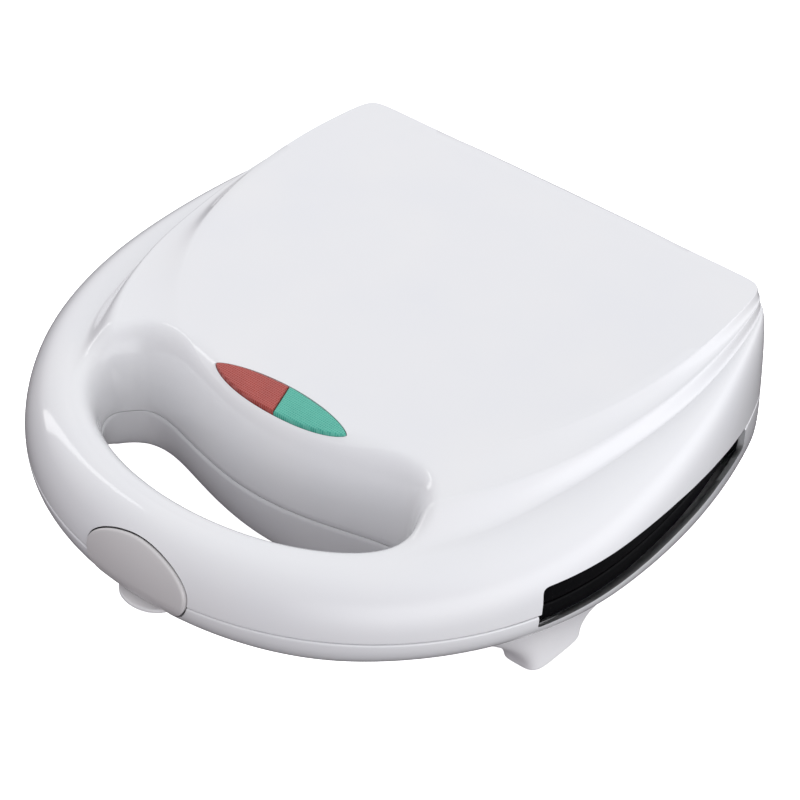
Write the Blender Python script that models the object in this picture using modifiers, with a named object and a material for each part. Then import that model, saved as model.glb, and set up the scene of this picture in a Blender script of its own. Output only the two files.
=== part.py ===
"""Electric donut maker for the worktop: two moulded shells that form one carrying ring, hinged at the back.

The base stands on four feet and holds the lower mould plate; the lid holds the upper one, its heater,
the thermostat and the two indicator lamps; a sprung latch in the handle keeps the lid shut.
Origin: on the worktop under the middle of the object. +X right, -Y towards the user, +Z up.
"""
import math

import bmesh
import bpy
import numpy as np
from mathutils import Matrix, Vector

MM = 0.001
FIT_GAP = 0.3 * MM

# Overall layout
CENTRE_Y = 20.0 * MM        # middle of the plateau, from which every ray of the shells is drawn
PARTING_Z = 38.5 * MM       # plane where lid and base meet
WALL = 2.4 * MM
HALF_WIDTH = 118.5 * MM
WIDEST_Y = -3.0 * MM
FRONT_Y = -117.9 * MM
BACK_Y = 108.5 * MM
FRAME_SHIFT_Y = -0.15 * MM    # brings the middle of the whole object over the origin

# Lid
PLATEAU_FRONT_Y = -52.6 * MM
PLATEAU_HALF_WIDTH = 94.6 * MM
PLATEAU_WIDEST_Y = 60.8 * MM
PLATEAU_BACK_Y = 103.5 * MM
LID_BACK_HEIGHT = 41.1 * MM
LID_FRONT_DROP = 8.6 * MM
LID_OPEN_DEGREES = 105.0

# Finger opening, drawn along the rays
HOLE_HALF_ANGLE = math.radians(40.7)
HOLE_MID_RADIUS = 95.8 * MM
HOLE_MID_RISE = 2.6 * MM
HOLE_HALF_DEPTH = 16.4 * MM
HOLE_ROUNDING = 10.0 * MM

# Base
TUB_DEPTH = 26.0 * MM
FOOT_BOTTOM_Z = 1.5 * MM
PAD_THICKNESS = 1.2 * MM
PAD_RADIUS = 6.5 * MM

# Mould plates
RING_RADIUS = 17.0 * MM
RING_TUBE = 9.2 * MM
CUP_RADIUS = 28.4 * MM
CUP_DEPTH = 12.0 * MM
RING_PITCH = 60.0 * MM
RING_MID_Y = 23.0 * MM
FLANGE = 4.0 * MM
PLATE_INSET = 4.3 * MM
PLATE_FRONT_Y = -45.0 * MM
PLATE_BACK_Y = 104.0 * MM
LID_SKIRT = 11.4 * MM         # depth of the frame round the plate, which shows in the side slots
BASE_SKIRT = 6.4 * MM
SKIRT_WALL = 2.5 * MM

# Handle covers, which close the shells' mouths in front of the plates
COVER_BACK_Y = -46.0 * MM
COVER_INSET = WALL + 1.2 * MM
COVER_NEAR = 0.6 * MM
COVER_FAR = 2.4 * MM
COVER_NOTCH_HALF = 25.0 * MM
COVER_NOTCH_Y = -106.6 * MM

# Side slots, where the plates show: (y, distance from the parting plane) along their far lines
LID_SLOT = [(-41.8, 10.6), (0.0, 10.7), (12.0, 10.4), (23.0, 9.8), (38.0, 8.2), (52.7, 6.1), (68.0, 3.2),
            (83.5, 0.3)]
BASE_SLOT = [(-44.0, 4.7), (25.0, 4.7), (55.0, 5.7), (78.4, 8.0)]

# Hinge
HINGE_Y = 115.2 * MM
HINGE_RADIUS = 4.5 * MM
HINGE_BORE = 1.9 * MM
HINGE_PIN = 1.6 * MM
LID_BARREL_HALF = 30.0 * MM
BASE_EAR_OUTER = 44.0 * MM

# Latch
LATCH_PIN_Y = -109.3 * MM
LATCH_PIN_Z = PARTING_Z + 10.8 * MM
LATCH_PIN_RADIUS = 1.2 * MM
LATCH_HALF_WIDTH = 23.0 * MM
LATCH_TOP = 16.6 * MM
LATCH_BOTTOM = 12.4 * MM
LATCH_PROUD = 1.5 * MM

# Lamps
LENS_Y = -45.7 * MM
LENS_HALF_LENGTH = 29.6 * MM
LENS_HALF_WIDTH = 6.1 * MM
LENS_THICKNESS = 3.0 * MM


# ---------------------------------------------------------------- scene, materials, bodies

def clear_scene():
    for old in list(bpy.data.objects):
        bpy.data.objects.remove(old, do_unlink=True)


def new_collection(name):
    collection = bpy.data.collections.new(name)
    bpy.context.scene.collection.children.link(collection)
    return collection


def principled(name, colour, roughness, metallic=0.0):
    material = bpy.data.materials.new(name)
    material.use_nodes = True
    shader = material.node_tree.nodes["Principled BSDF"]
    shader.inputs["Base Color"].default_value = (*colour, 1.0)
    shader.inputs["Roughness"].default_value = roughness
    shader.inputs["Metallic"].default_value = metallic
    return material


class Model:
    """Collections, materials and the three bodies' empties."""

    def __init__(self):
        clear_scene()
        self.parts = new_collection("donut_maker")
        self.cutters = new_collection("cutters")
        self.frame = self.empty("base_frame", Vector((0.0, 0.0, 0.0)), None)
        self.frame.location = (0.0, FRAME_SHIFT_Y, 0.0)
        self.pivots = {"base": Vector((0.0, 0.0, 0.0)),
                       "lid": Vector((0.0, HINGE_Y, PARTING_Z)),
                       "latch": Vector((0.0, LATCH_PIN_Y, LATCH_PIN_Z))}
        self.bodies = {"base": self.frame}
        self.bodies["lid"] = self.empty("lid_pivot", self.pivots["lid"], self.frame)
        self.bodies["latch"] = self.empty("latch_pivot", self.pivots["latch"] - self.pivots["lid"],
                                          self.bodies["lid"])
        self.materials = {
            "white_shell": principled("white_shell", (0.86, 0.87, 0.89), 0.18),
            "white_foot": principled("white_foot", (0.85, 0.85, 0.87), 0.5),
            "grey_latch": principled("grey_latch", (0.62, 0.60, 0.60), 0.35),
            "nonstick": principled("nonstick", (0.012, 0.012, 0.014), 0.4),
            "rubber": principled("rubber", (0.08, 0.08, 0.08), 0.8),
            "red_lens": principled("red_lens", (0.55, 0.07, 0.04), 0.15),
            "green_lens": principled("green_lens", (0.05, 0.42, 0.30), 0.15),
            "steel": principled("steel", (0.6, 0.6, 0.62), 0.3, 1.0),
            "aluminium": principled("aluminium", (0.75, 0.76, 0.78), 0.35, 1.0),
            "heater_metal": principled("heater_metal", (0.22, 0.21, 0.20), 0.5, 1.0),
            "ceramic": principled("ceramic", (0.82, 0.80, 0.74), 0.6),
            "lamp_glass": principled("lamp_glass", (0.9, 0.6, 0.4), 0.1),
            "black_moulding": principled("black_moulding", (0.03, 0.03, 0.03), 0.5),
        }

    def empty(self, name, location, parent):
        empty = bpy.data.objects.new(name, None)
        empty.location = location
        empty.parent = parent
        bpy.context.scene.collection.objects.link(empty)
        return empty

    def add(self, name, mesh, material, body="base"):
        """Adds a sub-part whose mesh is in the base frame, hung on its body's pivot."""
        part = bpy.data.objects.new(name, mesh)
        part.data.materials.append(self.materials[material])
        part.parent = self.bodies[body]
        part.location = -self.pivots[body]
        self.parts.objects.link(part)
        return part

    def cutter(self, name, mesh, body="base"):
        tool = bpy.data.objects.new(name, mesh)
        tool.parent = self.bodies[body]
        tool.location = -self.pivots[body]
        tool.hide_render = True
        tool.display_type = 'WIRE'
        self.cutters.objects.link(tool)
        return tool


def combine(part, tool, operation):
    modifier = part.modifiers.new(f"{operation.lower()}_{tool.name}", 'BOOLEAN')
    modifier.operation = operation
    modifier.solver = 'EXACT'
    modifier.object = tool


# ---------------------------------------------------------------- simple solids

def finish_mesh(name, shape, sharp_degrees=35.0):
    """Turns a bmesh into a mesh with outward faces and round parts shaded smooth."""
    bmesh.ops.recalc_face_normals(shape, faces=shape.faces)
    if shape.calc_volume(signed=True) < 0.0:
        bmesh.ops.reverse_faces(shape, faces=shape.faces)
    mesh = bpy.data.meshes.new(name)
    shape.to_mesh(mesh)
    shape.free()
    mesh.shade_smooth()
    mesh.set_sharp_from_angle(angle=math.radians(sharp_degrees))
    return mesh


def box_mesh(name, low, high):
    low, high = Vector(low), Vector(high)
    shape = bmesh.new()
    place = Matrix.Translation((low + high) / 2) @ Matrix.Diagonal((*(high - low), 1.0))
    bmesh.ops.create_cube(shape, size=1.0, matrix=place)
    return finish_mesh(name, shape)


AXIS_TURN = {"X": Matrix.Rotation(math.pi / 2, 4, 'Y'), "Y": Matrix.Rotation(math.pi / 2, 4, 'X'),
             "Z": Matrix.Identity(4)}


def rod_mesh(name, centre, radius, length, axis="Z", segments=16, top_radius=None):
    shape = bmesh.new()
    bmesh.ops.create_cone(shape, cap_ends=True, segments=segments, radius1=radius,
                          radius2=radius if top_radius is None else top_radius, depth=length,
                          matrix=Matrix.Translation(centre) @ AXIS_TURN[axis])
    return finish_mesh(name, shape)


def prism_mesh(name, outline, low, high, axis="Z"):
    """Extrudes a closed outline of (a, b) pairs from low to high along an axis."""
    place = {"Z": lambda a, b, c: (a, b, c), "X": lambda a, b, c: (c, a, b)}[axis]
    shape = bmesh.new()
    face = shape.faces.new([shape.verts.new(place(a, b, low)) for a, b in outline])
    grown = bmesh.ops.extrude_face_region(shape, geom=[face])
    moved = [item for item in grown["geom"] if isinstance(item, bmesh.types.BMVert)]
    bmesh.ops.translate(shape, verts=moved, vec=Vector(place(0.0, 0.0, high - low)))
    return finish_mesh(name, shape)


def turned(model, name, profile, centre, material, body="base", segments=14, upside_down=False):
    """A turned piece: profile of (radius, height) pairs from the top of its axis to the bottom."""
    mesh = bpy.data.meshes.new(name)
    closed = profile[0] == profile[-1]
    corners = profile[:-1] if closed else profile
    edges = [(i, i + 1) for i in range(len(corners) - 1)] + ([(len(corners) - 1, 0)] if closed else [])
    mesh.from_pydata([(radius, 0.0, height) for radius, height in corners], edges, [])
    part = model.add(name, mesh, material, body)
    part.location = Vector(centre) - model.pivots[body]
    if upside_down:
        part.rotation_euler = (math.pi, 0.0, 0.0)
    screw = part.modifiers.new("turn", 'SCREW')
    screw.steps = segments
    screw.render_steps = segments
    screw.use_merge_vertices = True
    screw.merge_threshold = 0.00001
    return part


def tube(model, name, points, radius, material, body="base"):
    """A bent tube along a list of points."""
    curve = bpy.data.curves.new(name, 'CURVE')
    curve.dimensions = '3D'
    curve.bevel_depth = radius
    curve.bevel_resolution = 2
    curve.use_fill_caps = True
    spline = curve.splines.new('POLY')
    spline.points.add(len(points) - 1)
    for spot, point in zip(spline.points, points):
        spot.co = (*point, 1.0)
    part = bpy.data.objects.new(name, curve)
    curve.materials.append(model.materials[material])
    part.parent = model.bodies[body]
    part.location = -model.pivots[body]
    model.parts.objects.link(part)
    return part


# ---------------------------------------------------------------- the shells' form

def along(degrees, stations):
    """Value between stations given as {angle in degrees: value}."""
    return np.interp(degrees, list(stations), list(stations.values()))


def outline_radius(phi, front_y, half_width, widest_y, back_y, power, taper, corner, inset=0.0):
    """Radius of a D-shaped outline along rays at angle phi from +X.

    The front is a superellipse, the sides run back on a parabola, the back is straight, and the
    corners are rounded by a soft minimum of the two.
    """
    turn = np.linspace(0.0, math.pi / 2, 181)
    front_x = half_width * np.sin(turn) ** (2 / power)
    front = widest_y + (front_y - widest_y) * np.cos(turn) ** (2 / power)
    side_y = np.linspace(widest_y, 0.16, 60)[1:]
    side_x = half_width - taper * (side_y - widest_y) ** 2
    x = np.concatenate([front_x, side_x])
    y = np.concatenate([front, side_y]) - CENTRE_Y
    side = np.interp(phi, np.arctan2(y, x), np.hypot(x, y)) - inset
    rise = np.maximum(np.sin(phi), 1e-4)
    back = (back_y - inset - CENTRE_Y) / rise
    return (side ** -corner + back ** -corner) ** (-1 / corner)


def outer_edge(phi, inset=0.0):
    return outline_radius(phi, FRONT_Y, HALF_WIDTH, WIDEST_Y, BACK_Y, 2.08, 2.17, 22.0, inset)


def plateau_edge(phi, inset=0.0):
    return outline_radius(phi, PLATEAU_FRONT_Y, PLATEAU_HALF_WIDTH, PLATEAU_WIDEST_Y, PLATEAU_BACK_Y,
                          2.2, 2.6, 40.0, inset)


def hole_radii(share, inset=0.0):
    """Radii of the finger opening's far and near edge at a share (0 to 1) of its half angle."""
    middle = HOLE_MID_RADIUS + HOLE_MID_RISE * share ** 2
    half = (HOLE_HALF_DEPTH + inset) * np.maximum(1.0 - share ** 3, 0.0) ** (1 / 3)
    return middle - half, middle + half


def hole_half_angle(inset=0.0):
    return HOLE_HALF_ANGLE + inset / (HOLE_MID_RADIUS + HOLE_MID_RISE)


def hole_distance(x, y, inset=0.0):
    """Distance from points to the edge of the finger opening."""
    share = np.sin(np.linspace(0.0, math.pi / 2, 120))
    phi = share * hole_half_angle(inset) - math.pi / 2
    far, near = hole_radii(share, inset)
    radius = np.concatenate([far, near[::-1]])
    angle = np.concatenate([phi, phi[::-1]])
    edge_x = radius * np.cos(angle)
    edge_y = radius * np.sin(angle) + CENTRE_Y
    gaps = np.hypot(np.abs(x)[..., None] - edge_x, y[..., None] - edge_y)
    return gaps.min(axis=-1)


def plateau_height(y):
    """The lid's top is level at the back and falls towards the front on a parabola."""
    return LID_BACK_HEIGHT - LID_FRONT_DROP * ((105.9 * MM - y) / (158.4 * MM)) ** 2


LID_STATIONS = {
    "band": {-90: 0.57, -44: 0.42, 0: 0.28, 90: 0.30},
    "step": {-90: 0.78, -60: 0.76, -50: 0.70, -33: 0.59, -24: 0.50, 0: 0.42, 90: 0.50},
    "band_height": {-90: 26.0, -50: 31.0, -44: 33.0, 0: 34.2, 41: 37.0, 60: 40.2, 90: 40.4},
    "step_height": {-90: 22.0, -55: 22.0, -40: 24.0, -10: 27.5, 20: 29.5, 41: 32.0, 60: 39.0, 90: 39.3},
    "fullness": {-90: 2.0, -50: 2.1, -25: 2.6, 0: 3.0, 90: 3.0},
}
BASE_STATIONS = {
    "band": {-90: 0.57, -44: 0.42, 0: 0.30, 90: 0.30},
    "step": {-90: 0.78, -60: 0.76, -50: 0.66, -33: 0.50, 0: 0.35, 41: 0.4, 90: 0.5},
    "band_height": {-90: 17.0, -50: 20.0, 0: 25.0, 90: 25.0},
    "step_height": {-90: 15.0, -50: 16.0, 0: 21.0, 90: 24.0},
    "fullness": {-90: 2.0, 0: 2.2, 90: 2.8},
}


def ease(share):
    share = np.clip(share, 0.0, 1.0)
    return share * share * (3.0 - 2.0 * share)


def skin_height(x, y, stations, top_height, inset=0.0):
    """Height of a shell's skin over the parting plane at plan points; inset gives the inner skin."""
    phi = np.arctan2(y - CENTRE_Y, np.abs(x))
    radius = np.hypot(x, y - CENTRE_Y)
    degrees = np.degrees(phi)
    inner = plateau_edge(phi, 0.6 * inset)
    outer = outer_edge(phi, inset)
    band = inner + along(degrees, stations["band"]) * (outer - inner)
    step = inner + along(degrees, stations["step"]) * (outer - inner)
    top = top_height(np.where(radius < inner, y, CENTRE_Y + inner * np.sin(phi))) - inset
    band_height = along(degrees, stations["band_height"]) * MM - inset
    step_height = along(degrees, stations["step_height"]) * MM - inset
    power = along(degrees, stations["fullness"])
    height = top + (band_height - top) * ease((radius - inner) / (band - inner))
    height = height + (step_height - band_height) * ease((radius - band) / (step - band))
    fall = np.clip((radius - step) / (outer - step), 0.0, 1.0)
    height = height * (1.0 - fall ** power) ** (1.0 / power)
    wall = np.clip(1.0 - hole_distance(x, y, inset) / (HOLE_ROUNDING - inset), 0.0, 1.0)
    return height * np.sqrt(1.0 - wall ** 2)


def ray_angles(inset=0.0):
    """Ray angles of the right half, front to back, crowded at the opening's end and the corner."""
    end = hole_half_angle(inset) - math.pi / 2
    hole = np.sin(np.linspace(0.0, math.pi / 2, HOLE_RAYS + 1)) * hole_half_angle(inset) - math.pi / 2
    near_end = end + np.radians([0.8, 2.5, 5.5, 10.0])
    side = np.radians([-33, -27, -21, -14, -6, 4, 16, 27, 34, 38, 41, 44, 49, 58, 74, 90])
    return np.concatenate([hole, near_end, side])


HOLE_RAYS = 8               # rays from the front to the opening's end
INNER_STEPS = np.array([0.0, 0.5, 1.0])
WALL_STEPS = np.array([0.35, 0.66, 0.89, 1.0])
RING_STEPS = np.array([0.0, 0.08, 0.28, 0.52, 0.76, 0.93, 1.0])


def skin_grids(stations, top_height, sign, inset=0.0):
    """Two grids of points: from the middle out to the opening's far edge, and from its near edge out.

    Where there is no opening the two grids meet on one line.
    """
    phi = ray_angles(inset)
    inner = plateau_edge(phi, 0.6 * inset)
    outer = outer_edge(phi, inset)
    share = (phi + math.pi / 2) / hole_half_angle(inset)
    far, near = hole_radii(np.minimum(share, 1.0), inset)
    end_share = ((far - inner) / (outer - inner))[HOLE_RAYS]
    split = inner + end_share * (outer - inner)
    beyond = np.arange(len(phi)) >= HOLE_RAYS
    far = np.where(beyond, split, far)
    near = np.where(beyond, split, near)
    plateau_rows = INNER_STEPS[:, None] * np.minimum(inner, far - 1.0 * MM)
    wall_rows = plateau_rows[-1] + WALL_STEPS[:, None] * (far - plateau_rows[-1])
    ring_rows = near + RING_STEPS[:, None] * (outer - near)
    grids = []
    for radius in (np.vstack([plateau_rows, wall_rows]), ring_rows):
        x = radius * np.cos(phi)
        y = CENTRE_Y + radius * np.sin(phi)
        height = skin_height(x, y, stations, top_height, inset)
        if radius is ring_rows:
            height[-1] = 0.0
            height[0, ~beyond] = 0.0
            height[0, HOLE_RAYS] = 0.0
        else:
            height[-1, ~beyond] = 0.0
            height[-1, HOLE_RAYS] = 0.0
        right = np.stack([x, y, PARTING_Z + sign * (height + FIT_GAP / 2)], axis=-1)
        left = right[:, -2:0:-1] * np.array([-1.0, 1.0, 1.0])
        grids.append(np.concatenate([right, left], axis=1))
    return grids


def grid_faces(shape, rows):
    """Quads between rows of vertices that close round the object."""
    for upper, lower in zip(rows[:-1], rows[1:]):
        count = len(upper)
        for i in range(count):
            j = (i + 1) % count
            corners = [upper[i], upper[j], lower[j], lower[i]]
            shape.faces.new(corners)


def rim_faces(shape, outer_loop, inner_loop, columns):
    """Joins the edges of the two skins between neighbouring columns."""
    for i, j in zip(columns[:-1], columns[1:]):
        shape.faces.new([outer_loop[i], outer_loop[j], inner_loop[j], inner_loop[i]])


def shell_mesh(name, stations, top_height, sign):
    """A moulded shell: an outer and an inner skin, joined by rims at its edge and round the opening."""
    shape = bmesh.new()
    loops = []
    for inset in (0.0, WALL):
        inner_grid, ring_grid = skin_grids(stations, top_height, sign, inset)
        inner_rows = [[shape.verts.new(point) for point in row] for row in inner_grid]
        ring_rows = [[shape.verts.new(point) for point in row] for row in ring_grid]
        grid_faces(shape, inner_rows)
        grid_faces(shape, ring_rows)
        loops.append((inner_rows[-1], ring_rows[0], ring_rows[-1]))
    (far_out, near_out, edge_out), (far_in, near_in, edge_in) = loops
    opening = list(range(-HOLE_RAYS, HOLE_RAYS + 1))
    rim_faces(shape, far_out, far_in, opening)
    rim_faces(shape, near_out, near_in, opening)
    rim_faces(shape, edge_out, edge_in, list(range(-1, len(edge_out))))
    bmesh.ops.remove_doubles(shape, verts=shape.verts, dist=0.005 * MM)
    bmesh.ops.triangulate(shape, faces=shape.faces)
    return finish_mesh(name, shape, 50.0)


def tub_height(y):
    """The base's floor is level."""
    return np.full_like(y, TUB_DEPTH)


# ---------------------------------------------------------------- cutters for the shells

def lens_outline(grow=0.0, low=-1.0, high=1.0, count=12):
    """Almond outline of the lamps' window, or of the part of it between two shares of its length."""
    share = np.sin(np.linspace(math.asin(low), math.asin(high), count))
    x = share * (LENS_HALF_LENGTH + grow)
    half = (LENS_HALF_WIDTH + grow) * np.maximum(1.0 - share ** 2, 0.0) ** 0.72 + 0.001 * MM
    lower = list(zip(x, LENS_Y - half))
    upper = list(zip(x[::-1], (LENS_Y + half)[::-1]))
    closed = lower + upper
    return [point for i, point in enumerate(closed) if math.dist(point, closed[i - 1]) > 0.05 * MM]


def latch_half_width(height):
    """Half width of the latch's face at a height over the parting plane."""
    top = np.clip(height / LATCH_TOP, 0.0, 1.0)
    low = np.clip(-height / LATCH_BOTTOM, 0.0, 1.0)
    return LATCH_HALF_WIDTH * (1.0 - top ** 2.3) ** 0.47 * (1.0 - low ** 3) ** 0.45


def latch_window(model, sign, body):
    """Cutter for the latch's window in one shell's front wall."""
    margin = 0.9 * MM if sign > 0 else 0.5 * MM
    reach = (LATCH_TOP if sign > 0 else LATCH_BOTTOM) + margin
    share = np.sin(np.linspace(0.0, math.pi / 2, 9))
    heights = share * reach
    half = latch_half_width(sign * share * (reach - margin)) + 0.5 * MM
    right = list(zip(half, PARTING_Z + sign * heights))
    left = [(-x, z) for x, z in reversed(right)]
    outline = [(half[0], PARTING_Z - sign * MM)] + right + left + [(-half[0], PARTING_Z - sign * MM)]
    shape = bmesh.new()
    rows = [[shape.verts.new((x, y, z)) for x, z in outline] for y in (-125.0 * MM, -107.5 * MM)]
    grid_faces(shape, rows)
    shape.faces.new(rows[0])
    shape.faces.new(rows[1])
    return model.cutter(f"latch_window_{body}", finish_mesh("latch_window", shape), body)


def side_slots(model, shell, far_line, sign, body):
    """Cuts the slot in both sides of a shell, from past the parting plane up or down to the far line."""
    ends = [(far_line[-1][0], -1.0), (far_line[0][0], -1.0)]
    outline = [(y * MM, PARTING_Z + sign * rise * MM) for y, rise in far_line + ends]
    for side, name in ((1, "right"), (-1, "left")):
        near, far = sorted((side * 98.0 * MM, side * 125.0 * MM))
        tool = model.cutter(f"{body}_slot_{name}", prism_mesh("slot", outline, near, far, "X"), body)
        combine(shell, tool, 'DIFFERENCE')


def hinge_knuckle(model, shell, body, low_x, high_x, sign):
    """Barrel and web of one hinge knuckle, joined to its shell, and the bore for the pin."""
    name = f"{body}_knuckle_{'left' if low_x + high_x < 0 else 'right' if low_x + high_x > 0 else 'middle'}"
    wall_y = BACK_Y - 1.2 * MM
    turn = np.linspace(-math.pi / 2, math.pi / 2, 9)
    rounded = [(HINGE_Y + HINGE_RADIUS * math.cos(t), PARTING_Z + HINGE_RADIUS * math.sin(t)) for t in turn]
    reach = PARTING_Z + sign * 9.0 * MM
    near = PARTING_Z + sign * 0.6 * MM
    web = [(wall_y, reach), (wall_y, near), (HINGE_Y - 4.6 * MM, near),
           (HINGE_Y - 2.0 * MM, PARTING_Z - sign * 4.0 * MM)]
    outline = rounded + (web if sign > 0 else web[::-1])
    tool = model.cutter(name, prism_mesh(name, outline, low_x, high_x, "X"), body)
    combine(shell, tool, 'UNION')


def bore(model, shell, body):
    """Bore along the hinge through all knuckles of a shell."""
    tool = model.cutter(f"{body}_bore", rod_mesh("bore", (0.0, HINGE_Y, PARTING_Z), HINGE_BORE,
                                                 120.0 * MM, "X", 12), body)
    combine(shell, tool, 'DIFFERENCE')


# ---------------------------------------------------------------- shells

def make_lid_shell(model):
    shell = model.add("upper_shell", shell_mesh("upper_shell", LID_STATIONS, plateau_height, 1),
                      "white_shell", "lid")
    hinge_knuckle(model, shell, "lid", -LID_BARREL_HALF, LID_BARREL_HALF, 1)
    bore(model, shell, "lid")
    side_slots(model, shell, LID_SLOT, 1, "lid")
    combine(shell, latch_window(model, 1, "lid"), 'DIFFERENCE')
    window = prism_mesh("lamp_window", lens_outline(0.35 * MM), PARTING_Z + 20.0 * MM, PARTING_Z + 50.0 * MM)
    combine(shell, model.cutter("lamp_window", window, "lid"), 'DIFFERENCE')


def make_base_shell(model):
    shell = model.add("lower_shell", shell_mesh("lower_shell", BASE_STATIONS, tub_height, -1), "white_shell")
    ear = LID_BARREL_HALF + 0.4 * MM
    hinge_knuckle(model, shell, "base", ear, BASE_EAR_OUTER, -1)
    hinge_knuckle(model, shell, "base", -BASE_EAR_OUTER, -ear, -1)
    bore(model, shell, "base")
    side_slots(model, shell, BASE_SLOT, -1, "base")
    combine(shell, latch_window(model, -1, "base"), 'DIFFERENCE')
    inlet = rod_mesh("inlet_hole", (0.0, 106.0 * MM, INLET_Z), INLET_RADIUS + FIT_GAP, 12.0 * MM, "Y", 16)
    combine(shell, model.cutter("inlet_hole", inlet), 'DIFFERENCE')


def make_hinge_pins(model):
    for side, name in ((1, "right"), (-1, "left")):
        centre = (side * 31.0 * MM, HINGE_Y, PARTING_Z)
        model.add(f"hinge_pin_{name}", rod_mesh("hinge_pin", centre, HINGE_PIN, 24.0 * MM, "X", 12), "steel")


INLET_Z = PARTING_Z - 12.6 * MM
INLET_RADIUS = 4.8 * MM


def make_cord_inlet(model):
    """Bush in the back wall that a mains lead would enter through; its bore is open at both ends."""
    profile = [(3.4, 8.0), (6.4, 8.0), (6.4, 6.0), (4.8, 6.0), (4.8, -8.0), (3.4, -8.0), (3.4, 8.0)]
    bush = turned(model, "cord_inlet", [(r * MM, z * MM) for r, z in profile],
                  (0.0, 103.6 * MM, INLET_Z), "black_moulding", segments=16)
    bush.rotation_euler = (-math.pi / 2, 0.0, 0.0)


def cover_outline():
    """The shells' inner edge from one side round the front of the handle to the other."""
    fine = np.radians(np.linspace(-60.0, -20.0, 161))
    reach = CENTRE_Y + outer_edge(fine, COVER_INSET) * np.sin(fine)
    end = np.interp(COVER_BACK_Y, reach, fine)
    phi = ray_angles(COVER_INSET)
    phi = np.append(phi[phi < end], end)
    radius = outer_edge(phi, COVER_INSET)
    right = list(zip(radius * np.cos(phi), CENTRE_Y + radius * np.sin(phi)))
    return right + [(-x, y) for x, y in right[:0:-1]]


def opening_outline():
    """The finger opening's edge, grown so that a cover stays clear of the wall round it."""
    phi = ray_angles(COVER_INSET)[:HOLE_RAYS + 1]
    share = (phi + math.pi / 2) / hole_half_angle(COVER_INSET)
    far, near = hole_radii(np.minimum(share, 1.0), COVER_INSET)
    near_edge = list(zip(near * np.cos(phi), CENTRE_Y + near * np.sin(phi)))
    far_edge = list(zip(far * np.cos(phi), CENTRE_Y + far * np.sin(phi)))
    right = near_edge + far_edge[-2::-1]
    return right + [(-x, y) for x, y in right[-2:0:-1]]


def make_handle_cover(model, name, sign, body):
    """A flat panel across the mouth of a shell round the finger opening, notched for the latch."""
    low, high = sorted((PARTING_Z + sign * COVER_NEAR, PARTING_Z + sign * COVER_FAR))
    panel = model.add(name, prism_mesh(name, cover_outline(), low, high), "white_shell", body)
    opening = prism_mesh("opening", opening_outline(), low - MM, high + MM)
    combine(panel, model.cutter(f"{name}_opening", opening, body), 'DIFFERENCE')
    notch = box_mesh("notch", (-COVER_NOTCH_HALF, FRONT_Y, low - MM),
                     (COVER_NOTCH_HALF, COVER_NOTCH_Y, high + MM))
    combine(panel, model.cutter(f"{name}_notch", notch, body), 'DIFFERENCE')


# ---------------------------------------------------------------- feet

FRONT_FOOT = {"low": (95.5, -21.5, 8.0, 13.5), "high": (5.0, -28.5, 12.5, 27.5)}
REAR_FOOT = {"low": (84.0, 71.0, 8.0, 9.0), "high": (11.0, 71.0, 10.0, 13.0)}
FOOT_LEVELS = 5
FOOT_COLUMNS = 5
FOOT_CLEARANCE = 1.9 * MM     # the faceted underside lies up to a millimetre off its true curve


def side_edge_x(y):
    """The shells' side at the parting plane: an ellipse-like front and a parabola behind it."""
    front = np.clip((WIDEST_Y - y) / (WIDEST_Y - FRONT_Y), 0.0, 1.0)
    return np.where(y < WIDEST_Y, HALF_WIDTH * (1.0 - front ** 2.08) ** (1 / 2.08),
                    HALF_WIDTH - 2.17 * (y - WIDEST_Y) ** 2)


def foot_mesh(name, form, side):
    """Flared foot: a rectangle that widens in a hollow curve until it meets the tub's underside.

    Its upper end follows the shells' side, a little inside it.
    """
    span = np.linspace(-1.0, 1.0, FOOT_COLUMNS)
    across, along_y = np.meshgrid(span, span, indexing="ij")
    middle_x, middle_y, half_x, half_y = form["low"]
    low_x, low_y = (middle_x + half_x * across) * MM, (middle_y + half_y * along_y) * MM
    inset, middle_y, half_x, half_y = form["high"]
    high_y = (middle_y + half_y * along_y) * MM
    high_x = side_edge_x(high_y) - (inset + half_x * (1.0 - across)) * MM
    low_x, high_x = side * low_x, side * high_x
    under = skin_height(high_x, high_y, BASE_STATIONS, tub_height)
    high_z = PARTING_Z - under - FOOT_CLEARANCE
    shape = bmesh.new()
    levels = []
    for level in np.linspace(0.0, 1.0, FOOT_LEVELS):
        flare = level ** 1.8
        x = low_x + (high_x - low_x) * flare
        y = low_y + (high_y - low_y) * flare
        z = FOOT_BOTTOM_Z + (high_z - FOOT_BOTTOM_Z) * level
        levels.append(np.stack([x, y, z], axis=-1))
    border = ([(i, 0) for i in range(FOOT_COLUMNS - 1)]
              + [(FOOT_COLUMNS - 1, j) for j in range(FOOT_COLUMNS - 1)]
              + [(i, FOOT_COLUMNS - 1) for i in range(FOOT_COLUMNS - 1, 0, -1)]
              + [(0, j) for j in range(FOOT_COLUMNS - 1, 0, -1)])
    spots = [(i, j) for i in range(FOOT_COLUMNS) for j in range(FOOT_COLUMNS)]
    top = {spot: shape.verts.new(levels[-1][spot]) for spot in spots}
    for i in range(FOOT_COLUMNS - 1):
        for j in range(FOOT_COLUMNS - 1):
            shape.faces.new([top[i, j], top[i + 1, j], top[i + 1, j + 1], top[i, j + 1]])
    rows = [[shape.verts.new(points[spot]) for spot in border] for points in levels[:-1]]
    rows.append([top[spot] for spot in border])
    grid_faces(shape, rows)
    shape.faces.new(rows[0])
    bmesh.ops.triangulate(shape, faces=[face for face in shape.faces if len(face.verts) == 4])
    return finish_mesh(name, shape)


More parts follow.
